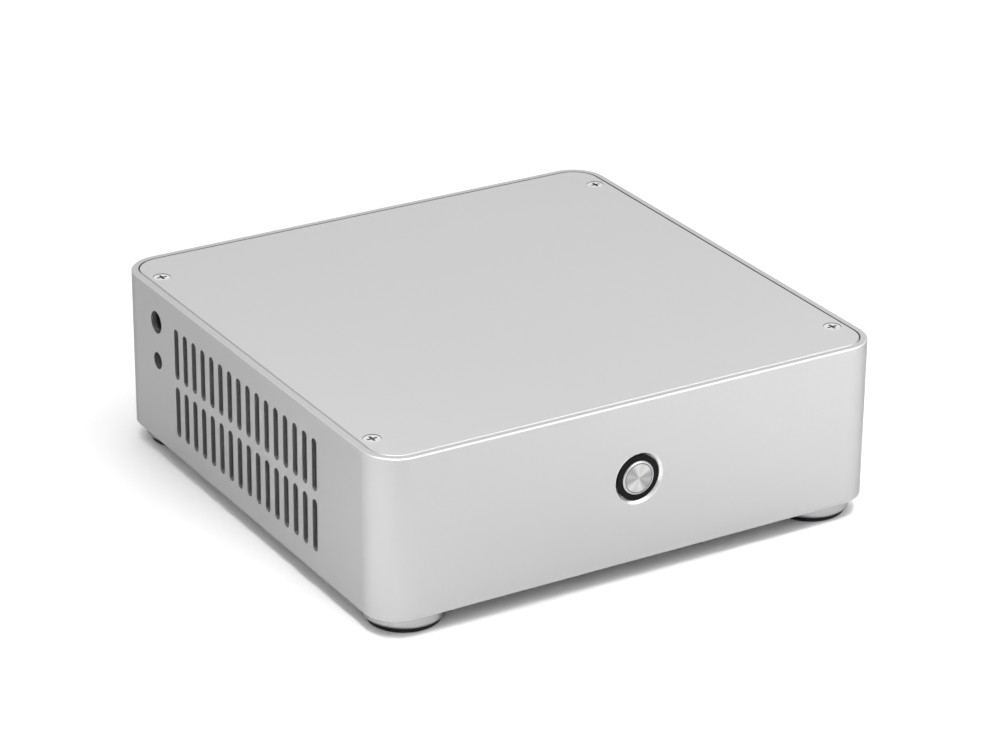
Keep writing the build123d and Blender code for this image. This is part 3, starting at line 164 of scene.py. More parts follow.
class Shader:
    def __init__(self, name, metallic=0.0, roughness=0.5, **fixed):
        self.material = bpy.data.materials.new(name)
        self.material.use_nodes = True
        self.tree = self.material.node_tree
        self.surface = self.tree.nodes["Principled BSDF"]
        self.feed({"Metallic": metallic, "Roughness": roughness, **fixed})
        self.place = self.node("ShaderNodeTexCoord", out="Object")
        self.x, self.y, self.z = self.parts(self.place)
        self.facing = self.parts(self.node("ShaderNodeTexCoord", out="Normal"))[2]

    def connect(self, node, sockets):
        for key, value in sockets.items():
            if isinstance(value, Value):
                self.tree.links.new(value.socket, node.inputs[key])
            else:
                node.inputs[key].default_value = value

    def node(self, kind, settings=None, sockets=None, out=0):
        node = self.tree.nodes.new(kind)
        for key, value in (settings or {}).items():
            setattr(node, key, value)
        self.connect(node, sockets or {})
        return Value(self, node.outputs[out])

    def feed(self, sockets):
        self.connect(self.surface, sockets)

    def parts(self, vector):
        first = self.node("ShaderNodeSeparateXYZ", sockets={0: vector})
        return [Value(self, socket) for socket in first.socket.node.outputs]

    def grain(self, scale, detail=2.0, roughness=0.5, place=None):
        sockets = {"Vector": place or self.place, "Scale": scale, "Detail": detail, "Roughness": roughness}
        return self.node("ShaderNodeTexNoise", sockets=sockets)

    def streaks(self, amount, detail=2.0):
        sockets = {"W": amount, "Scale": 1.0, "Detail": detail}
        return self.node("ShaderNodeTexNoise", {"noise_dimensions": "1D"}, sockets)

    def drawn(self, scale):
        # grain stretched by a different amount along each axis
        place = self.node("ShaderNodeVectorMath", {"operation": "MULTIPLY"}, {0: self.place, 1: scale})
        return self.grain(1.0, 3.0, 0.6, place)

    def cells(self, scale, metric="EUCLIDEAN", out="Distance"):
        sockets = {"Vector": self.place, "Scale": scale}
        return self.node("ShaderNodeTexVoronoi", {"distance": metric}, sockets, out)

    def blend(self, factor, first, second):
        return self.node("ShaderNodeMix", {"data_type": "RGBA"}, {0: factor, 6: first, 7: second}, 2)

    def tint(self, colour, amount, darkest=0.9, lightest=1.1):
        return self.blend(amount, shade(colour, darkest), shade(colour, lightest))

    def away(self, centre):
        # distance from the line that runs through the centre from front to back
        across, upwards = self.x - centre[0], self.z - centre[2]
        return (across * across + upwards * upwards).root()

    def angle(self, centre):
        # turn round the same line
        return self.x.sum("ARCTAN2", self.z - centre[2], self.x - centre[0])

    def relief(self, height, depth, strength=1.0):
        bump = self.node("ShaderNodeBump", sockets={"Height": height, "Distance": depth, "Strength": strength})
        self.feed({"Normal": bump})


def shade(colour, amount=1.0):
    return tuple(min(1.0, part * amount) for part in colour) + (1.0,)


# finishes of the case, with painted highlights and painted shade

case = {
    # coverTone is a lighter copy of the case's tone, painted light for the lit top; the base plate and the
    # feet are darker copies of it
    "tone": (0.45, 0.45, 0.45), "coverTone": (0.5, 0.5, 0.5), "baseTone": (0.42, 0.42, 0.42),
    "footTone": (0.36, 0.36, 0.36), "edgeTone": (0.5, 0.5, 0.5, 1), "roughness": 0.42, "footRoughness": 0.2,
    "grain": 5200.0, "grainDepth": 0.00003, "clouds": 18.0,
    # rimShine lightens the chamfers as a painted highlight
    "rimReach": 0.0006, "rimSlope": 0.707, "rimSlack": 0.2, "rimShine": 1.5,
    # seatShine lightens the seat round the button as a painted highlight
    "seatRadius": 0.0096, "seatDepth": 0.003, "seatShine": 1.6,
    # sinkShade darkens the countersinks as painted shade
    "sinkMargin": 0.0004, "sinkFacing": 0.95, "sinkShade": 0.12,
}


def blastedAluminium(name, tone=case["tone"], roughness=case["roughness"], rims=(), bore=None, sinks=None):
    shader = Shader(name, metallic=1.0, **{"Specular Tint": case["edgeTone"]})
    fine = shader.grain(case["grain"], detail=3.0, roughness=0.65)
    cloud = shader.grain(case["clouds"], detail=3.0)
    colour = shader.tint(tone, 0.5 * fine + 0.5 * cloud, darkest=0.95, lightest=1.05)
    rough = roughness + 0.08 * (fine - 0.5) + 0.06 * (cloud - 0.5)
    if rims:  # diamond-cut chamfers, lighter partly as bare cut metal and partly as a painted highlight
        tilt = abs(abs(shader.facing) - case["rimSlope"]) < case["rimSlack"]
        cutAndHighlight = tilt * sum((abs(shader.z - height) < case["rimReach"]) for height in rims)
        colour = shader.blend(cutAndHighlight, colour, shade(tone, case["rimShine"]))
        rough = rough + 0.1 * cutAndHighlight
    if bore:  # cut seat round the button, smoother, and lighter partly as bare cut metal and partly as a painted highlight
        seat = (shader.away(bore) < case["seatRadius"]) * (shader.y < bore[1] + case["seatDepth"])
        colour = shader.blend(seat, colour, shade(tone, case["seatShine"]))
        rough = rough * (1 - 0.35 * seat)
    if sinks:  # painted shade in the countersinks round the screws
        spotX, spotY, reach = sinks
        beside = (abs(abs(shader.x) - spotX) < reach) * (abs(abs(shader.y) - spotY) < reach)
        slope = shader.facing < case["sinkFacing"]
        colour = shader.blend(beside * slope, colour, shade(tone, case["sinkShade"]))
    shader.feed({"Base Color": colour, "Roughness": rough})
    shader.relief(fine, case["grainDepth"], strength=0.5)
    return shader.material


cap = {
    "pitch": 0.00016, "relief": 0.00006, "fans": 3, "fanTurn": 1.2, "glintTurn": 0.35,
    "groove": 0.87, "grooveWidth": 0.03, "rim": 0.9,  # shares of the cap's radius
    # dark and bright are the painted shade and the painted highlight of the wedges
    "dark": (0.26, 0.26, 0.26), "bright": (0.6, 0.6, 0.6),
    "rimHighlight": (0.58, 0.58, 0.58), "grooveShade": (0.12, 0.12, 0.12),
}


def turnedAluminium(name, centre, radius):
    # the wedges of light on the turned lines are painted into the colour as painted highlight and painted
    # shade; the rim ring is a painted highlight, and the groove that runs round inside the rim is painted dark
    # as painted shade
    shader = Shader(name, metallic=1.0)
    away, angle = shader.away(centre), shader.angle(centre)
    rings = shader.streaks(away / cap["pitch"], detail=3.0)
    groove = abs(away - cap["groove"] * radius) < cap["grooveWidth"] * radius
    fan = (2 * (angle - cap["fanTurn"])).cosine()
    glint = ((2 * cap["fans"]) * (angle + cap["glintTurn"])).cosine()
    sheen = 0.38 + 0.3 * fan + 0.18 * glint + 0.2 * (rings - 0.5)
    paintedLight = shader.blend(sheen, shade(cap["dark"]), shade(cap["bright"]))
    paintedLight = shader.blend(away > cap["rim"] * radius, paintedLight, shade(cap["rimHighlight"]))
    paintedLight = shader.blend(groove, paintedLight, shade(cap["grooveShade"]))
    shader.feed({"Base Color": paintedLight, "Roughness": 0.27 + 0.14 * rings})
    shader.relief(rings - 2 * groove, cap["relief"], strength=0.9)
    return shader.material


def blackGloss(name, tone=(0.004, 0.004, 0.0045)):
    shader = Shader(name, **{"Specular IOR Level": 0.08})
    haze = shader.grain(900.0, detail=4.0)
    colour = shader.tint(tone, haze, darkest=0.8, lightest=1.3)
    shader.feed({"Base Color": colour, "Roughness": 0.24 + 0.12 * haze})
    shader.relief(shader.grain(240.0), 0.00001, strength=0.3)
    return shader.material


def mouldedPlastic(name, tone=(0.03, 0.03, 0.033), roughness=0.5, texture=2600.0):
    shader = Shader(name)
    cloud = shader.grain(60.0, detail=3.0)
    colour = shader.tint(tone, cloud, darkest=0.85, lightest=1.2)
    shader.feed({"Base Color": colour, "Roughness": roughness + 0.14 * (cloud - 0.5)})
    shader.relief(shader.cells(texture), 0.00004, strength=0.5)
    return shader.material


def rubber(name, tone=(0.006, 0.006, 0.006)):
    shader = Shader(name, **{"Specular IOR Level": 0.2})
    dust = shader.grain(160.0, detail=5.0, roughness=0.7)
    colour = shader.tint(tone, dust, darkest=0.7, lightest=2.2)
    shader.feed({"Base Color": colour, "Roughness": 0.62 + 0.25 * (dust - 0.5)})
    shader.relief(shader.grain(4200.0), 0.00006, strength=0.6)
    return shader.material


def threadedSteel(name, stretch, tone=(0.62, 0.62, 0.61), pitch=0.0005):
    # the stretch is the lowest and highest point of the thread
    shader = Shader(name, metallic=1.0)
    cloud = shader.grain(700.0, detail=4.0, roughness=0.6)
    colour = shader.tint(tone, cloud, darkest=0.8, lightest=1.15)
    shader.feed({"Base Color": colour, "Roughness": 0.26 + 0.2 * cloud})
    ridges = (shader.z / pitch).zigzag()
    shader.relief(ridges * shader.z.between(*stretch) + 0.1 * cloud, 0.0003, strength=0.8)
    return shader.material


weave = {
    "pitch": 0.0007, "opening": 0.62, "thread": (0.015, 0.015, 0.016), "hole": (0.004, 0.004, 0.004),
    "relief": 0.00015,
}


def filterWeave(name):
    shader = Shader(name)
    threads = (shader.y / weave["pitch"]).zigzag().most((shader.z / weave["pitch"]).zigzag())
    # the openings are painted near-black, as painted shade seen through the weave
    colour = shader.blend(threads < weave["opening"], shade(weave["thread"]), shade(weave["hole"]))
    shader.feed({"Base Color": colour, "Roughness": 0.75 - 0.2 * threads})
    shader.relief(threads, weave["relief"], strength=0.8)
    return shader.material


# finishes of the boards

board = {
    "mask": (0.008, 0.045, 0.022), "copper": (0.018, 0.085, 0.045), "bare": (0.30, 0.27, 0.14),
    "laminate": (0.10, 0.12, 0.05), "gold": (0.83, 0.62, 0.24), "drill": (0.01, 0.01, 0.01),
    "chip": (0.022, 0.022, 0.024), "tracks": 520.0, "trackNets": 0.22, "trackWidth": 0.55, "trackShine": 1.7,
    "vias": 240.0, "viaRadius": 0.16, "drillRadius": 0.07, "coveredNets": 0.34,
    "lacquer": 0.00008, "chipRise": 0.0001, "fingerWidth": 0.68, "relief": 0.00005,
}


def solderMask(name, top, mask=None, tracks=board["tracks"], chips=False, fingers=None):
    # green lacquer over copper tracks, with vias; chips stand above it and gold fingers lie along one edge
    shader = Shader(name, **{"Coat Roughness": 0.12, "Coat Weight": 0.4})
    wave = shader.grain(90.0, detail=1.0)
    net = shader.parts(shader.cells(tracks * board["trackNets"], "MANHATTAN", "Color"))[0]
    along = shader.parts(shader.blend(net > 0.5, shader.x, shader.y))[0]
    stripe = (along * tracks + wave).zigzag() > board["trackWidth"]
    covered = net > board["coveredNets"]
    rings = shader.cells(board["vias"])
    via = rings < board["viaRadius"]
    drill = rings < board["drillRadius"]
    lacquer, track = shade(mask or board["mask"]), shade(mask or board["copper"], board["trackShine"])
    colour = shader.blend(stripe * covered, lacquer, track)
    colour = shader.blend(via, colour, shade(board["bare"]))
    # the drill holes are painted near-black, as painted shade inside them
    colour = shader.blend(drill, colour, shade(board["drill"]))
    edge = (shader.z < top - board["lacquer"]) * (abs(shader.facing) < 0.5)
    colour = shader.blend(edge, colour, shade(board["laminate"]))
    metal = via * (1 - drill) * (1 - edge)
    height = 0.5 * stripe * covered + via - drill
    if chips:
        chip = shader.z > top + board["chipRise"]
        moulding = shader.tint(board["chip"], shader.grain(3000.0), darkest=0.8, lightest=1.3)
        colour = shader.blend(chip, colour, moulding)
        metal = metal * (1 - chip)
        height = height * (1 - chip)
    if fingers:
        front, back, pitch = fingers
        finger = (shader.x / pitch).zigzag() < board["fingerWidth"]
        strip = shader.y.between(front, back) * finger * (1 - edge)
        colour = shader.blend(strip, colour, shade(board["gold"]))
        metal = metal.most(strip)
    shader.feed({"Base Color": colour, "Metallic": metal, "Roughness": 0.42 - 0.12 * metal})
    shader.relief(height, board["relief"], strength=0.5)
    return shader.material


def mouldedChip(name, tone=(0.02, 0.02, 0.022)):
    shader = Shader(name)
    speck = shader.grain(3600.0, detail=3.0, roughness=0.7)
    cloud = shader.grain(220.0)
    colour = shader.tint(tone, speck, darkest=0.7, lightest=1.5)
    shader.feed({"Base Color": colour, "Roughness": 0.5 + 0.2 * (cloud - 0.5)})
    shader.relief(speck, 0.00003, strength=0.6)
    return shader.material


package = {
    "die": 0.00075, "dieTone": (0.12, 0.13, 0.16), "carrier": (0.012, 0.06, 0.03), "pad": (0.55, 0.5, 0.4),
    "pads": 900.0, "padRadius": 0.12,
}


def siliconPackage(name, top):
    # green carrier with the pads of small capacitors and a bare polished die
    shader = Shader(name)
    die = shader.z > top - package["die"]
    pads = (shader.cells(package["pads"], "CHEBYCHEV") < package["padRadius"]) * (1 - die)
    colour = shader.blend(pads, shade(package["carrier"]), shade(package["pad"]))
    polished = shader.tint(package["dieTone"], shader.grain(40.0), darkest=0.8, lightest=1.3)
    colour = shader.blend(die, colour, polished)
    shader.feed({"Base Color": colour, "Metallic": die.most(pads), "Roughness": 0.42 - 0.3 * die})
    shader.relief(pads, 0.00005, strength=0.6)
    return shader.material


def extrudedAluminium(name, tone=(0.68, 0.69, 0.7), lines=(9000.0, 90.0, 4000.0)):
    shader = Shader(name, metallic=1.0)
    drawn = shader.drawn(lines)
    bloom = shader.grain(60.0, detail=3.0)
    colour = shader.tint(tone, 0.6 * drawn + 0.4 * bloom, darkest=0.82, lightest=1.12)
    shader.feed({"Base Color": colour, "Roughness": 0.3 + 0.16 * drawn})
    shader.relief(drawn, 0.00004, strength=0.6)
    return shader.material


def stampedSteel(name, tone, lines, roughness=0.26, spangle=0.0):
    # cold-rolled sheet with a rolling grain and, where it is zinc dipped, a spangle
    shader = Shader(name, metallic=1.0)
    rolled = shader.drawn(lines)
    flakes = shader.parts(shader.cells(240.0, out="Color"))[0]
    colour = shader.tint(tone, (1 - spangle) * rolled + spangle * flakes, darkest=0.84, lightest=1.12)
    rough = roughness + 0.12 * rolled + spangle * 0.16 * (flakes - 0.5)
    shader.feed({"Base Color": colour, "Roughness": rough})
    shader.relief(rolled, 0.00002, strength=0.5)
    return shader.material


def powderCoat(name, tone=(0.035, 0.035, 0.037)):
    shader = Shader(name, **{"Specular IOR Level": 0.4})
    peel = shader.grain(1500.0)
    cloud = shader.grain(30.0, detail=3.0)
    colour = shader.tint(tone, cloud, darkest=0.85, lightest=1.15)
    shader.feed({"Base Color": colour, "Roughness": 0.5 + 0.16 * (peel - 0.5)})
    shader.relief(peel, 0.00009, strength=0.7)
    return shader.material


drive = {
    "tone": (0.11, 0.115, 0.125), "lineShade": (0.03, 0.03, 0.033), "lines": (80.0, 5200.0, 80.0),
    "lineInset": 0.0035, "lineWidth": 0.00035, "metallic": 0.85,
}


def driveShell(name, lowest, highest):
    # anodised lid with a pressed line that runs round it; the line is painted dark, as painted shade in the
    # crease
    shader = Shader(name, metallic=drive["metallic"])
    middle, half = (lowest + highest) / 2, (highest - lowest) / 2
    inset = (abs(shader.x - middle.x) - half.x).most(abs(shader.y - middle.y) - half.y)
    line = (abs(inset + drive["lineInset"]) < drive["lineWidth"]) * (shader.facing > 0.5)
    fine = shader.drawn(drive["lines"])
    lid = shader.tint(drive["tone"], fine, darkest=0.82, lightest=1.2)
    shader.feed({
        "Base Color": shader.blend(line, lid, shade(drive["lineShade"])), "Roughness": 0.36 + 0.14 * fine,
    })
    shader.relief(fine * 0.1 - line, 0.0002, strength=0.7)
    return shader.material


def copperWinding(name, tone=(0.48, 0.19, 0.07), pitch=0.00022):
    shader = Shader(name, metallic=0.9)
    wire = (shader.z / pitch).zigzag()
    rust = shader.grain(300.0, detail=3.0)
    colour = shader.tint(tone, 0.5 * wire + 0.5 * rust, darkest=0.6, lightest=1.3)
    shader.feed({"Base Color": colour, "Roughness": 0.3 + 0.2 * rust})
    shader.relief(wire, 0.0001, strength=0.9)
    return shader.material


def castMetal(name, tone, roughness=0.34, pores=1400.0):
    # brass, bronze, tin and gold
    shader = Shader(name, metallic=1.0)
    pits = shader.cells(pores)
    cloud = shader.grain(300.0, detail=3.0)
    colour = shader.tint(tone, 0.5 * pits + 0.5 * cloud, darkest=0.75, lightest=1.2)
    shader.feed({"Base Color": colour, "Roughness": roughness + 0.16 * (cloud - 0.5)})
    shader.relief(pits, 0.00003, strength=0.6)
    return shader.material


def ferrite(name, foot, tone=(0.05, 0.05, 0.054), tinned=(0.55, 0.5, 0.44)):
    # pressed block on tinned terminals, which reach up to the foot
    shader = Shader(name)
    cloud = shader.grain(260.0, detail=4.0)
    terminal = shader.z < foot
    pressed = shader.tint(tone, cloud, darkest=0.7, lightest=1.4)
    shader.feed({
        "Base Color": shader.blend(terminal, pressed, shade(tinned)),
        "Metallic": 0.8 * terminal, "Roughness": 0.55 - 0.2 * terminal,
    })
    shader.relief(shader.cells(2400.0), 0.00005, strength=0.7)
    return shader.material


def sleevedCan(name, foot, tone=(0.72, 0.73, 0.75), baseTone=(0.02, 0.02, 0.02)):
    # drawn aluminium can on a black moulded base
    shader = Shader(name)
    base = shader.z < foot
    drawn = shader.streaks(shader.z * 9000.0)
    can = shader.tint(tone, drawn, darkest=0.88, lightest=1.08)
    shader.feed({
        "Base Color": shader.blend(base, can, shade(baseTone)),
        "Metallic": 1 - base, "Roughness": 0.2 + 0.1 * drawn + 0.3 * base,
    })
    shader.relief(drawn, 0.00002, strength=0.4)
    return shader.material


def springWire(name, tone=(0.55, 0.55, 0.56)):
    shader = Shader(name, metallic=1.0)
    drawn = shader.grain(2600.0, detail=4.0, roughness=0.7)
    colour = shader.tint(tone, drawn, darkest=0.75, lightest=1.2)
    shader.feed({"Base Color": colour, "Roughness": 0.2 + 0.16 * drawn})
    shader.relief(drawn, 0.00002, strength=0.5)
    return shader.material


def cutFilm(name, tone=(0.75, 0.72, 0.6)):
    shader = Shader(name, **{"Coat Weight": 0.3, "Coat Roughness": 0.15})
    haze = shader.grain(120.0, detail=4.0)
    scuff = shader.drawn((500.0, 60.0, 60.0))
    colour = shader.tint(tone, haze, darkest=0.88, lightest=1.06)
    shader.feed({"Base Color": colour, "Roughness": 0.3 + 0.2 * scuff})
    shader.relief(haze, 0.00003, strength=0.4)
    return shader.material


def bandedPlastic(name, axis, bands, otherwise):
    # moulded in a different colour for each stretch of the axis
    shader = Shader(name)
    along = getattr(shader, axis)
    cloud = shader.grain(90.0, detail=3.0)
    colour = shade(otherwise)
    for start, end, tone in bands:
        colour = shader.blend(along.between(start, end), colour, shade(tone))
    colour = shader.blend(0.25 * cloud, colour, (0, 0, 0, 1))
    shader.feed({"Base Color": colour, "Roughness": 0.45 + 0.12 * (cloud - 0.5)})
    shader.relief(shader.cells(3000.0), 0.00003, strength=0.5)
    return shader.material


headers = {
    "tone": (0.62, 0.6, 0.54), "darkTone": (0.02, 0.02, 0.022), "pinShade": 0.95,
    "pinsFrom": 0.0024, "darkBeyond": 0.04, "darkBelow": 0.01,
}


def pinnedPlastic(name, floor, lowest, highest):
    # pale sockets, dark ones on the right, and a dark pin strip whose bare pins stand above the floor
    shader = Shader(name)
    strip = shader.x.between(lowest.x, highest.x) * shader.y.between(lowest.y, highest.y)
    pin = strip * (shader.z > floor)
    fine = shader.grain(900.0, detail=3.0)
    dark = (shader.x > headers["darkBeyond"]) * (shader.z < floor + headers["darkBelow"])
    base = shader.blend(dark + strip, shade(headers["tone"]), shade(headers["darkTone"]))
    colour = shader.blend(pin, base, shade(board["gold"], headers["pinShade"]))
    shader.feed({"Base Color": colour, "Metallic": pin, "Roughness": 0.45 - 0.2 * pin + 0.1 * fine})
    shader.relief(fine, 0.00003, strength=0.4)
    return shader.material


def wireJacket(name, tones, splits=()):
    # wires that lie side by side from front to back; each split is where the next colour starts
    shader = Shader(name, **{"Specular IOR Level": 0.4})
    fine = shader.grain(1500.0, detail=3.0)
    colour = shade(tones[0])
    for split, tone in zip(splits, tones[1:]):
        colour = shader.blend(shader.y > split, colour, shade(tone))
    colour = shader.blend(0.22 * fine, colour, (0, 0, 0, 1))
    shader.feed({"Base Color": colour, "Roughness": 0.38 + 0.16 * fine})
    shader.relief(fine, 0.00003, strength=0.4)
    return shader.material


def paint(node, material):
    mesh = nodes[node].data
    mesh.materials.clear()
    mesh.materials.append(material)


def makeFloor():
    plan = bmesh.new()
    bmesh.ops.create_grid(plan, x_segments=1, y_segments=1, size=studio["floorSize"] / 2)
    mesh = bpy.data.meshes.new("floor")
    plan.to_mesh(mesh)
    plan.free()
    floor = bpy.data.objects.new("floor", mesh)
    bpy.context.collection.objects.link(floor)
    shader = Shader("paleFloor", roughness=studio["floorRoughness"])
    colour = shader.tint([studio["floorTone"]] * 3, shader.grain(3.0), darkest=0.995, lightest=1.005)
    shader.feed({"Base Color": colour})
    mesh.materials.append(shader.material)


def lightWorld():
    world = bpy.data.worlds.new("studio")
    world.use_nodes = True
    tone = studio["worldTone"]
    world.node_tree.nodes["Background"].inputs[0].default_value = (tone, tone, tone, 1)
    bpy.context.scene.world = world


# places of the nodes, and the steps that new pieces share


def lowCorner(node):
    return Vector(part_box(node)[0])


def highCorner(node):
    return Vector(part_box(node)[1])


def solids(node):
    # the box of each separate solid of a CAD node, from left to right
    shape = bmesh.new()
    shape.from_mesh(nodes[node].data)
    bmesh.ops.remove_doubles(shape, verts=shape.verts, dist=1e-6)
    left, boxes = set(shape.verts), []
    while left:
        queue, found = [left.pop()], []
        while queue:
            corner = queue.pop()
            found.append(corner.co.copy())
            for edge in corner.link_edges:
                other = edge.other_vert(corner)
                if other in left:
                    left.remove(other)
                    queue.append(other)
        ends = [Vector([pick(point[axis] for point in found) for axis in range(3)]) for pick in (min, max)]
        boxes.append(tuple(ends))
    shape.free()
    return sorted(boxes, key=lambda box: [round(part, 5) for part in box[0]])


def thread(node, below=0.0, above=0.0):
    # what the heads leave of the screws' height
    return lowCorner(node).z + below, highCorner(node).z - above


def brick(shape, middle, size, chamfer=0.0, material=0):
    place = Matrix.Translation(middle) @ Matrix.Diagonal((*size, 1))
    made = bmesh.ops.create_cube(shape, size=1.0, matrix=place)
    faces = {face for corner in made["verts"] for face in corner.link_faces}
    for face in faces:
        face.material_index = material
    if chamfer:
        top = [edge for face in faces if face.normal.z > 0.5 for edge in face.edges]
        bmesh.ops.bevel(shape, geom=top, offset=chamfer, segments=1, profile=0.5, affect="EDGES", material=-1)
    return made["verts"]


def disc(shape, middle, radius, segments):
    place = Matrix.Translation(middle)
    made = bmesh.ops.create_circle(shape, cap_ends=True, segments=segments, radius=radius, matrix=place)
    return made["verts"]


def thicken(shape, height):
    # flat faces grow upwards; the lifted corners come back
    lifted = bmesh.ops.extrude_face_region(shape, geom=shape.faces[:])
    corners = [part for part in lifted["geom"] if isinstance(part, bmesh.types.BMVert)]
    bmesh.ops.translate(shape, verts=corners, vec=(0, 0, height))
    return corners


def makePiece(name, shape, materials, body="chassis", smooth=False):
    bmesh.ops.recalc_face_normals(shape, faces=shape.faces)
    for face in shape.faces:
        face.smooth = smooth
    mesh = bpy.data.meshes.new(name)
    shape.to_mesh(mesh)
    shape.free()
    for material in materials:
        mesh.materials.append(material)
    piece = bpy.data.objects.new(name, mesh)
    bpy.context.collection.objects.link(piece)
    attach(piece, body)
    return piece


placeCamera()
lightWorld()
makeFloor()
for name, light in studio["lights"].items():
    hangLight(name, **light)
bpy.context.scene.view_settings.view_transform = "Standard"
print("stage set")

# case, feet and button

heads = {"countersunk": 0.0016, "round": 0.0019}  # heights of the screw heads
screwTones = {"dull": (0.5, 0.5, 0.5), "nickel": (0.68, 0.66, 0.6), "black": (0.09, 0.09, 0.095)}
terminalPins = {"reach": 0.0034, "tone": (0.02, 0.02, 0.02), "base": (0.7, 0.66, 0.55)}

buttonCentre = (lowCorner("button_cap") + highCorner("button_cap")) / 2
buttonFront = Vector((buttonCentre.x, lowCorner("outer_band").y, buttonCentre.z))
buttonRadius = highCorner("button_cap").x - buttonCentre.x
screwLow, screwHigh = solids("cover_screws")[-1]
screwSpot, screwHalf = (screwLow + screwHigh) / 2, (screwHigh.x - screwLow.x) / 2
sinks = (screwSpot.x, screwSpot.y, screwHalf + case["sinkMargin"])
rims = (highCorner("outer_band").z, lowCorner("outer_band").z)

paint("outer_band", blastedAluminium("bandAluminium", rims=rims, bore=buttonFront))
# the cover carries painted light in its lighter tone and painted shade in its countersinks
paint("top_cover", blastedAluminium("coverAluminium", case["coverTone"], sinks=sinks))
paint("base_plate", blastedAluminium("baseAluminium", case["baseTone"]))
paint("foot_shells", blastedAluminium("footAluminium", case["footTone"], case["footRoughness"]))
paint("foot_pads", rubber("footRubber"))
paint("button_cap", turnedAluminium("turnedCap", buttonCentre, buttonRadius))
paint("button_ring", blackGloss("buttonRingGloss"))
paint("button_nut", stampedSteel("nutNickel", (0.6, 0.58, 0.53), (900.0, 60.0, 900.0)))
pinsEnd = highCorner("button_terminals").y - terminalPins["reach"]
bands = [(-1, pinsEnd, terminalPins["tone"])]
paint("button_terminals", bandedPlastic("terminalPlastic", "y", bands, terminalPins["base"]))
paint("button_plunger", mouldedPlastic("plungerAcetal", (0.55, 0.54, 0.5), 0.4, 900.0))
coverThread = thread("cover_screws", above=heads["countersunk"])
paint("cover_screws", threadedSteel("coverScrewSteel", coverThread, screwTones["dull"]))
baseThread = thread("base_screws", below=heads["countersunk"])
paint("base_screws", threadedSteel("baseScrewSteel", baseThread, screwTones["dull"]))
paint("foot_screws", threadedSteel("footScrewZinc", thread("foot_screws", below=heads["round"])))
paint("filter_meshes", filterWeave("filterWeave"))
paint("filter_frames", mouldedPlastic("filterFramePlastic", (0.012, 0.012, 0.013)))
paint("dc_jack", mouldedPlastic("jackPlastic", (0.008, 0.008, 0.008), 0.6))
print("case finished")

# board and what is soldered on it

boardTop = highCorner("motherboard").z
memory = {"tone": (0.006, 0.03, 0.05), "tracks": 700.0, "thick": 0.0012, "fingers": (0.0028, 0.0003, 0.0006)}
wireless = {"tone": (0.01, 0.03, 0.012), "tracks": 800.0, "thick": 0.0008}
choke = {"terminals": 0.0009}
can = {"base": 0.0011}
portTones = {"blue": (0.02, 0.09, 0.42), "dark": (0.02, 0.02, 0.022)}
portSteel = {"tone": (0.66, 0.65, 0.62), "lines": (120.0, 4000.0, 300.0), "roughness": 0.22}
jackTones = {"jacks": [(0.5, 0.12, 0.16), (0.06, 0.34, 0.1), (0.06, 0.2, 0.42)], "body": (0.1, 0.1, 0.1)}

paint("motherboard", solderMask("boardLacquer", boardTop))
for place in ("lower", "upper"):
    row = "memory_module_" + place
    fingersFrom, fingersTo, pitch = memory["fingers"]
    fingers = (highCorner(row).y - fingersFrom, highCorner(row).y - fingersTo, pitch)
    top = lowCorner(row).z + memory["thick"]
    finish = {"mask": memory["tone"], "tracks": memory["tracks"], "chips": True, "fingers": fingers}
    paint(row, solderMask(place + "MemoryLacquer", top, **finish))
top = lowCorner("wireless_card").z + wireless["thick"]
paint("wireless_card", solderMask("wirelessLacquer", top, wireless["tone"], wireless["tracks"], chips=True))
paint("board_standoffs", castMetal("standoffBrass", (0.72, 0.53, 0.24), 0.28))
paint("board_screws", threadedSteel("boardScrewZinc", (lowCorner("board_screws").z, boardTop)))
paint("processor", siliconPackage("processorPackage", highCorner("processor").z))
paint("board_chips", mouldedChip("chipMould"))
paint("inductors", ferrite("chokeFerrite", boardTop + choke["terminals"]))
paint("capacitors", sleevedCan("canAluminium", boardTop + can["base"]))
pinStrip = max(solids("board_headers"), key=lambda box: box[1].x - box[0].x)
paint("board_headers", pinnedPlastic("headerNylon", boardTop + headers["pinsFrom"], *pinStrip))
paint("memory_sockets", mouldedPlastic("socketPlastic", (0.02, 0.02, 0.022), 0.45))
paint("wireless_socket", mouldedPlastic("edgeSocketPlastic", (0.03, 0.03, 0.032), 0.45))
paint("wireless_screw", castMetal("wirelessBrass", (0.72, 0.6, 0.35), 0.3))
paint("coin_cell_holder", mouldedPlastic("cellHolderPlastic", (0.03, 0.03, 0.03), 0.4))
paint("coin_cell", stampedSteel("coinCellSteel", (0.72, 0.72, 0.7), (700.0, 700.0, 700.0), 0.2))

ports = ("usb2_stack", "usb3_stack", "video_port_left", "video_port_right", "lan_usb_stack")
for index, port in enumerate(ports):
    paint(port, stampedSteel(f"portShell{index}", **portSteel))
stackLow, stackHigh = solids("usb3_stack")[0]
blue = [(stackLow.x, stackHigh.x), (lowCorner("lan_usb_stack").x, highCorner("lan_usb_stack").x)]
bands = [(start, end, portTones["blue"]) for start, end in blue]
paint("port_tongues", bandedPlastic("tonguePlastic", "x", bands, portTones["dark"]))
bands = [(start.x, end.x, tone) for (start, end), tone in zip(solids("audio_jacks"), jackTones["jacks"])]
paint("audio_jacks", bandedPlastic("audioPlastic", "x", bands, jackTones["body"]))
paint("io_shield", stampedSteel("rearSheet", (0.6, 0.6, 0.6), (5000.0, 300.0, 160.0), spangle=0.2))
print("board finished")

# cooler and fan

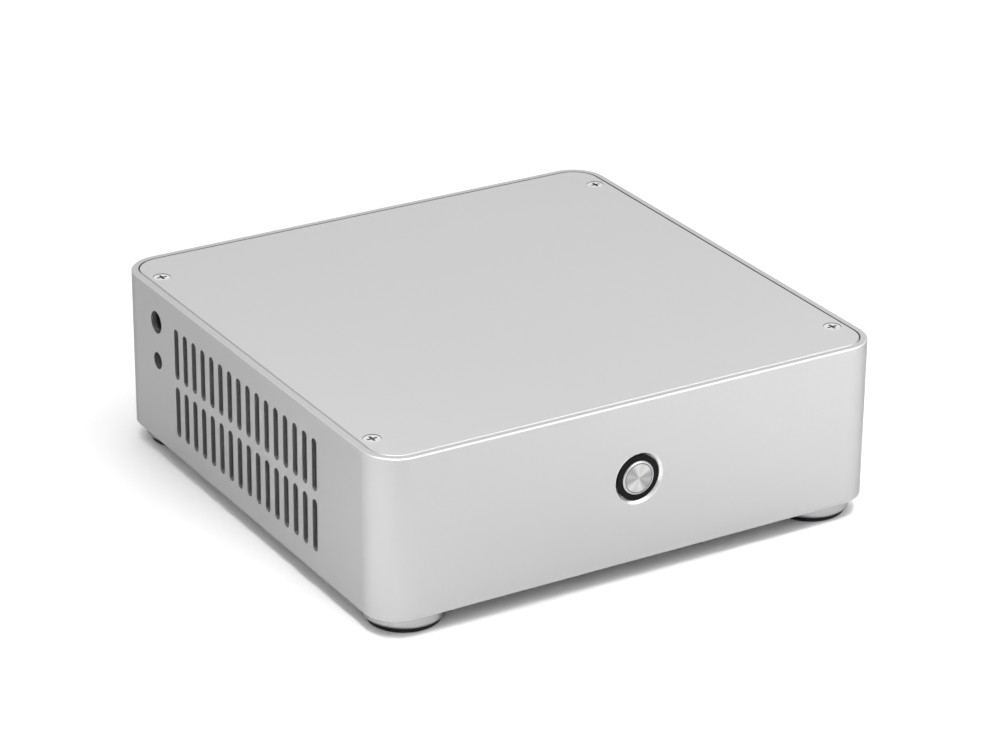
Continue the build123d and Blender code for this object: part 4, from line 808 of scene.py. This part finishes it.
fanCentre = (lowCorner("fan_frame") + highCorner("fan_frame")) / 2
coolerThread = thread("heatsink_screws", above=heads["round"])
fanThread = thread("fan_screws", above=heads["round"])
paint("heatsink", extrudedAluminium("finAluminium"))
paint("heatsink_screws", threadedSteel("coolerScrewNickel", coolerThread, screwTones["nickel"]))
paint("heatsink_springs", springWire("coolerSpringWire", (0.6, 0.6, 0.6)))
paint("cooler_insulator", cutFilm("insulatorFilm"))
paint("cooler_backplate", powderCoat("backplateCoat"))
paint("fan_frame", mouldedPlastic("fanFramePlastic", (0.012, 0.012, 0.013), 0.42, 1800.0))
paint("fan_rotor", mouldedPlastic("fanBladePlastic", (0.016, 0.016, 0.017), 0.3, 1500.0))
paint("fan_stator", copperWinding("statorCopper"))
paint("fan_bearing", castMetal("bearingBronze", (0.55, 0.36, 0.18), 0.36))
paint("fan_screws", threadedSteel("fanScrewBlack", fanThread, screwTones["black"]))

# drive, bridge and leads

leadTones = {
    "black": (0.008, 0.008, 0.009), "red": (0.4, 0.012, 0.01), "yellow": (0.62, 0.42, 0.02),
    "data": (0.32, 0.01, 0.012), "button": (0.05, 0.05, 0.055),
}
plugs = {"pale": (0.7, 0.68, 0.62), "dark": (0.018, 0.018, 0.02), "darkFrom": 0.036, "darkTo": 0.08}

paint("drive_bridge", powderCoat("bridgeCoat", (0.05, 0.051, 0.054)))
paint("drive_case", driveShell("driveShell", lowCorner("drive_case"), highCorner("drive_case")))
paint("drive_screws", threadedSteel("driveScrewZinc", thread("drive_screws", below=heads["round"])))
bands = [(plugs["darkFrom"], plugs["darkTo"], plugs["dark"])]
paint("lead_plugs", bandedPlastic("plugNylon", "x", bands, plugs["pale"]))
middles = sorted((start.y + end.y) / 2 for start, end in solids("drive_power_lead"))
splits = [(first + second) / 2 for first, second in zip(middles, middles[1:])]
wires = [leadTones[tone] for tone in ("red", "black", "black", "yellow")]
paint("drive_power_lead", wireJacket("powerJacket", wires, splits))
singles = {"data_cable": "data", "dc_lead": "black", "button_lead": "button", "fan_lead": "black"}
for lead, tone in singles.items():
    paint(lead, wireJacket(lead.split("_")[0] + "Jacket", [leadTones[tone]]))
print("inside finished")

# small pieces on the board

smalls = {
    "count": 260, "tries": 6000, "seed": 11, "gap": 0.0007, "margin": 0.004, "backMargin": 0.021,
    "sizes": [(0.0016, 0.0008, 0.0007), (0.001, 0.0005, 0.0004), (0.002, 0.00125, 0.0009)],
    "bodyShare": 0.98, "capShare": 0.26, "capShift": 0.37, "chamfer": 0.00004,
    # what stands within this height of the board keeps them away, apart from the sheets round it
    "above": 0.0025, "below": 0.0005,
    "ignored": (
        "motherboard", "outer_band", "io_shield", "base_plate", "top_cover", "cooler_backplate",
        "cooler_insulator",
    ),
}
legs = {
    "width": 0.0003, "thick": 0.00014, "reach": 0.0009, "shoulder": 0.0005, "corner": 0.0012,
    "bendAt": 0.3,  # share of the reach
    "finePitch": 0.0008, "coarsePitch": 0.00127, "fineFrom": 0.012,
}
marks = {"inset": 0.0004, "split": 0.3, "thick": 0.00003, "segments": 28, "tone": (0.012, 0.012, 0.014)}
tin = castMetal("solderTin", (0.62, 0.62, 0.62), 0.3, 2600.0)
ceramic = castMetal("ceramicTan", (0.42, 0.3, 0.2), 0.5, 2600.0)
resistor = mouldedChip("resistorBody")


def smallParts():
    # seeded two-pad parts wherever the board is free
    dice = random.Random(smalls["seed"])
    ceiling, ground = boardTop + smalls["above"], boardTop - smalls["below"]
    taken = []
    for node in nodes:
        if node not in smalls["ignored"]:
            taken += [box for box in solids(node) if box[0].z < ceiling and box[1].z > ground]
    boardLow, boardHigh = lowCorner("motherboard"), highCorner("motherboard")
    shape = bmesh.new()
    made = 0
    for attempt in range(smalls["tries"]):
        if made == smalls["count"]:
            break
        long, wide, tall = dice.choice(smalls["sizes"])
        turned = dice.random() < 0.5
        size = (wide, long, tall) if turned else (long, wide, tall)
        x = dice.uniform(boardLow.x + smalls["margin"], boardHigh.x - smalls["margin"])
        y = dice.uniform(boardLow.y + smalls["margin"], boardHigh.y - smalls["backMargin"])
        halfX, halfY = (side / 2 + smalls["gap"] for side in size[:2])
        left, right, front, back = x - halfX, x + halfX, y - halfY, y + halfY
        if any(right > a.x and left < b.x and back > a.y and front < b.y for a, b in taken):
            continue
        middle = Vector((x, y, boardTop + tall / 2))
        room = Vector((halfX, halfY, 0))
        taken.append((middle - room, middle + room))
        body = dice.choice((1, 2))
        brick(shape, middle, [smalls["bodyShare"] * side for side in size], smalls["chamfer"], body)
        along = 1 if turned else 0
        for side in (-1, 1):
            pad, shift = list(size), Vector((0, 0, 0))
            pad[along] *= smalls["capShare"]
            shift[along] = side * smalls["capShift"] * size[along]
            brick(shape, middle + shift, pad, smalls["chamfer"])
        made += 1
    print(f"{made} small parts placed")
    return makePiece("board_small_parts", shape, [tin, ceramic, resistor])


def chipLegs():
    # gull-wing legs: a shoulder out of the moulding, a slope and a foot on the board
    shape = bmesh.new()
    bend = legs["bendAt"] * legs["reach"]
    for index, (a, b) in enumerate(solids("board_chips")):
        pitch = legs["finePitch"] if b.x - a.x > legs["fineFrom"] else legs["coarsePitch"]
        for along in (0, 1):
            across = 1 - along
            length = b[along] - a[along]
            if along == 1 and index % 2 and length < legs["fineFrom"]:
                continue  # every other small chip has legs on two sides only
            count = int((length - legs["corner"]) / pitch)
            for i in range(count):
                for side in (-1, 1):
                    middle, out = Vector((0, 0, boardTop)), Vector((0, 0, 0))
                    middle[along] = (a[along] + b[along]) / 2 + (i - (count - 1) / 2) * pitch
                    middle[across] = (b if side > 0 else a)[across]
                    out[across] = side
                    size = [legs["width"], legs["width"], legs["thick"]]
                    size[across] = legs["reach"]
                    lift = Vector((0, 0, legs["thick"] / 2))
                    corners = brick(shape, middle + out * legs["reach"] / 2 + lift, size)
                    inner = [corner for corner in corners if (corner.co - middle).dot(out) < bend]
                    bmesh.ops.translate(shape, verts=inner, vec=(0, 0, legs["shoulder"]))
    return makePiece("chip_legs", shape, [tin])


def canMarks():
    # dark half-moon printed on the lid of each can, inside the pressed rim
    shape = bmesh.new()
    for a, b in solids("capacitors"):
        middle = (a + b) / 2
        radius = (b.x - a.x) / 2 - marks["inset"]
        corners = disc(shape, (middle.x, middle.y, b.z + marks["thick"]), radius, marks["segments"])
        edges = {edge for corner in corners for edge in corner.link_edges}
        faces = {face for corner in corners for face in corner.link_faces}
        bmesh.ops.bisect_plane(
            shape, geom=[*corners, *edges, *faces], plane_co=(middle.x - marks["split"] * radius, 0, 0),
            plane_no=(1, 0, 0), clear_outer=True,
        )
    thicken(shape, marks["thick"])
    ink = mouldedPlastic("canInk", marks["tone"], 0.5, 2000.0)
    return makePiece("can_marks", shape, [ink])


smallParts()
chipLegs()
canMarks()

# contacts and lamps in the rear sockets

contacts = {
    "thick": 0.00012, "forward": 0.0006, "length": 0.8,  # length as a share of the tongue's
    "stackedFrom": 0.0016, "stackedWidth": 0.0011, "stackedPlaces": (-0.34, -0.115, 0.115, 0.34),
    "videoCount": 10, "videoWidth": 0.0005,
}
springs = {
    "count": 8, "pitch": 0.00102, "size": (0.00045, 0.0095, 0.0003), "behind": 0.006, "below": 0.0036,
    "slope": 0.0022,
}
lamps = {
    "apart": 0.0048, "behind": 0.0005, "below": 0.0013, "size": (0.0022, 0.00115, 0.0015), "chamfer": 0.0002,
    "amber": (0.75, 0.34, 0.03), "green": (0.1, 0.5, 0.12), "roughness": 0.25, "texture": 1200.0,
}
gold = castMetal("contactGold", (0.83, 0.6, 0.22), 0.22, 2600.0)


def tongueContacts():
    shape = bmesh.new()
    count = contacts["videoCount"]
    for a, b in solids("port_tongues"):
        wide, middle = b.x - a.x, (a + b) / 2
        if b.z - a.z > contacts["stackedFrom"]:
            places, width = contacts["stackedPlaces"], contacts["stackedWidth"]
        else:
            places, width = [(i - (count - 1) / 2) / (count + 1) for i in range(count)], contacts["videoWidth"]
        size = (width, contacts["length"] * (b.y - a.y), contacts["thick"])
        for place in places:
            spot = (middle.x + wide * place, middle.y + contacts["forward"], a.z - contacts["thick"] / 2)
            brick(shape, spot, size)
    return makePiece("tongue_contacts", shape, [gold])


def networkContacts():
    # eight sprung wires that slope down into the network socket
    a, b = solids("lan_usb_stack")[0]
    shape = bmesh.new()
    middle = Vector(((a.x + b.x) / 2, b.y - springs["behind"], b.z - springs["below"]))
    for i in range(springs["count"]):
        shift = Vector(((i - (springs["count"] - 1) / 2) * springs["pitch"], 0, 0))
        corners = brick(shape, middle + shift, springs["size"])
        back = [corner for corner in corners if corner.co.y < middle.y]
        bmesh.ops.translate(shape, verts=back, vec=(0, 0, -springs["slope"]))
    return makePiece("network_contacts", shape, [gold])


def networkLamps():
    a, b = solids("lan_usb_stack")[0]
    shape = bmesh.new()
    for material, side in enumerate((-1, 1)):
        middle = ((a.x + b.x) / 2 + side * lamps["apart"], b.y - lamps["behind"], b.z - lamps["below"])
        brick(shape, middle, lamps["size"], lamps["chamfer"], material)
    lenses = [
        mouldedPlastic(tone + "Lens", lamps[tone], lamps["roughness"], lamps["texture"])
        for tone in ("amber", "green")
    ]
    return makePiece("network_lamps", shape, lenses)


tongueContacts()
networkContacts()
networkLamps()

# plain foil disc on the fan hub

hub = {
    "radius": 0.0125, "lift": 0.00003, "thick": 0.00012, "bevel": 0.00006, "segments": 64,
    "tone": (0.72, 0.73, 0.74), "lines": (500.0, 500.0, 500.0), "roughness": 0.3,
}


def hubDisc():
    shape = bmesh.new()
    middle = (fanCentre.x, fanCentre.y, highCorner("fan_rotor").z + hub["lift"])
    disc(shape, middle, hub["radius"], hub["segments"])
    corners = thicken(shape, hub["thick"])
    rim = [edge for edge in shape.edges if all(corner in corners for corner in edge.verts)]
    bmesh.ops.bevel(shape, geom=rim, offset=hub["bevel"], segments=2, profile=0.5, affect="EDGES", material=-1)
    foil = stampedSteel("hubFoil", hub["tone"], hub["lines"], hub["roughness"])
    return makePiece("hub_disc", shape, [foil], body="fan_rotor")


hubDisc()

# return spring of the button

coil = {"wire": 0.0003, "segments": 12, "turns": 5, "steps": 24, "travel": 0.0015}


def pressSpring():
    start, end = lowCorner("button_spring"), highCorner("button_spring")
    middle = (start + end) / 2
    length = end.y - start.y
    radius = (end.x - start.x) / 2 - coil["wire"]
    shape = bmesh.new()
    disc(shape, (middle.x + radius, start.y + coil["wire"], middle.z), coil["wire"], coil["segments"])
    steps = coil["turns"] * coil["steps"]
    rise = (length - 2 * coil["wire"]) / steps
    bmesh.ops.spin(
        shape, geom=shape.faces[:] + shape.edges[:] + shape.verts[:], cent=middle, axis=(0, 1, 0),
        dvec=(0, rise, 0), angle=math.tau * coil["turns"], steps=steps, use_duplicate=False,
    )
    bmesh.ops.remove_doubles(shape, verts=shape.verts, dist=1e-7)
    spring = makePiece("press_spring", shape, [springWire("pressSpringWire")], smooth=True)
    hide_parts("button_spring")
    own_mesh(spring)


pressSpring()
print("small pieces made")
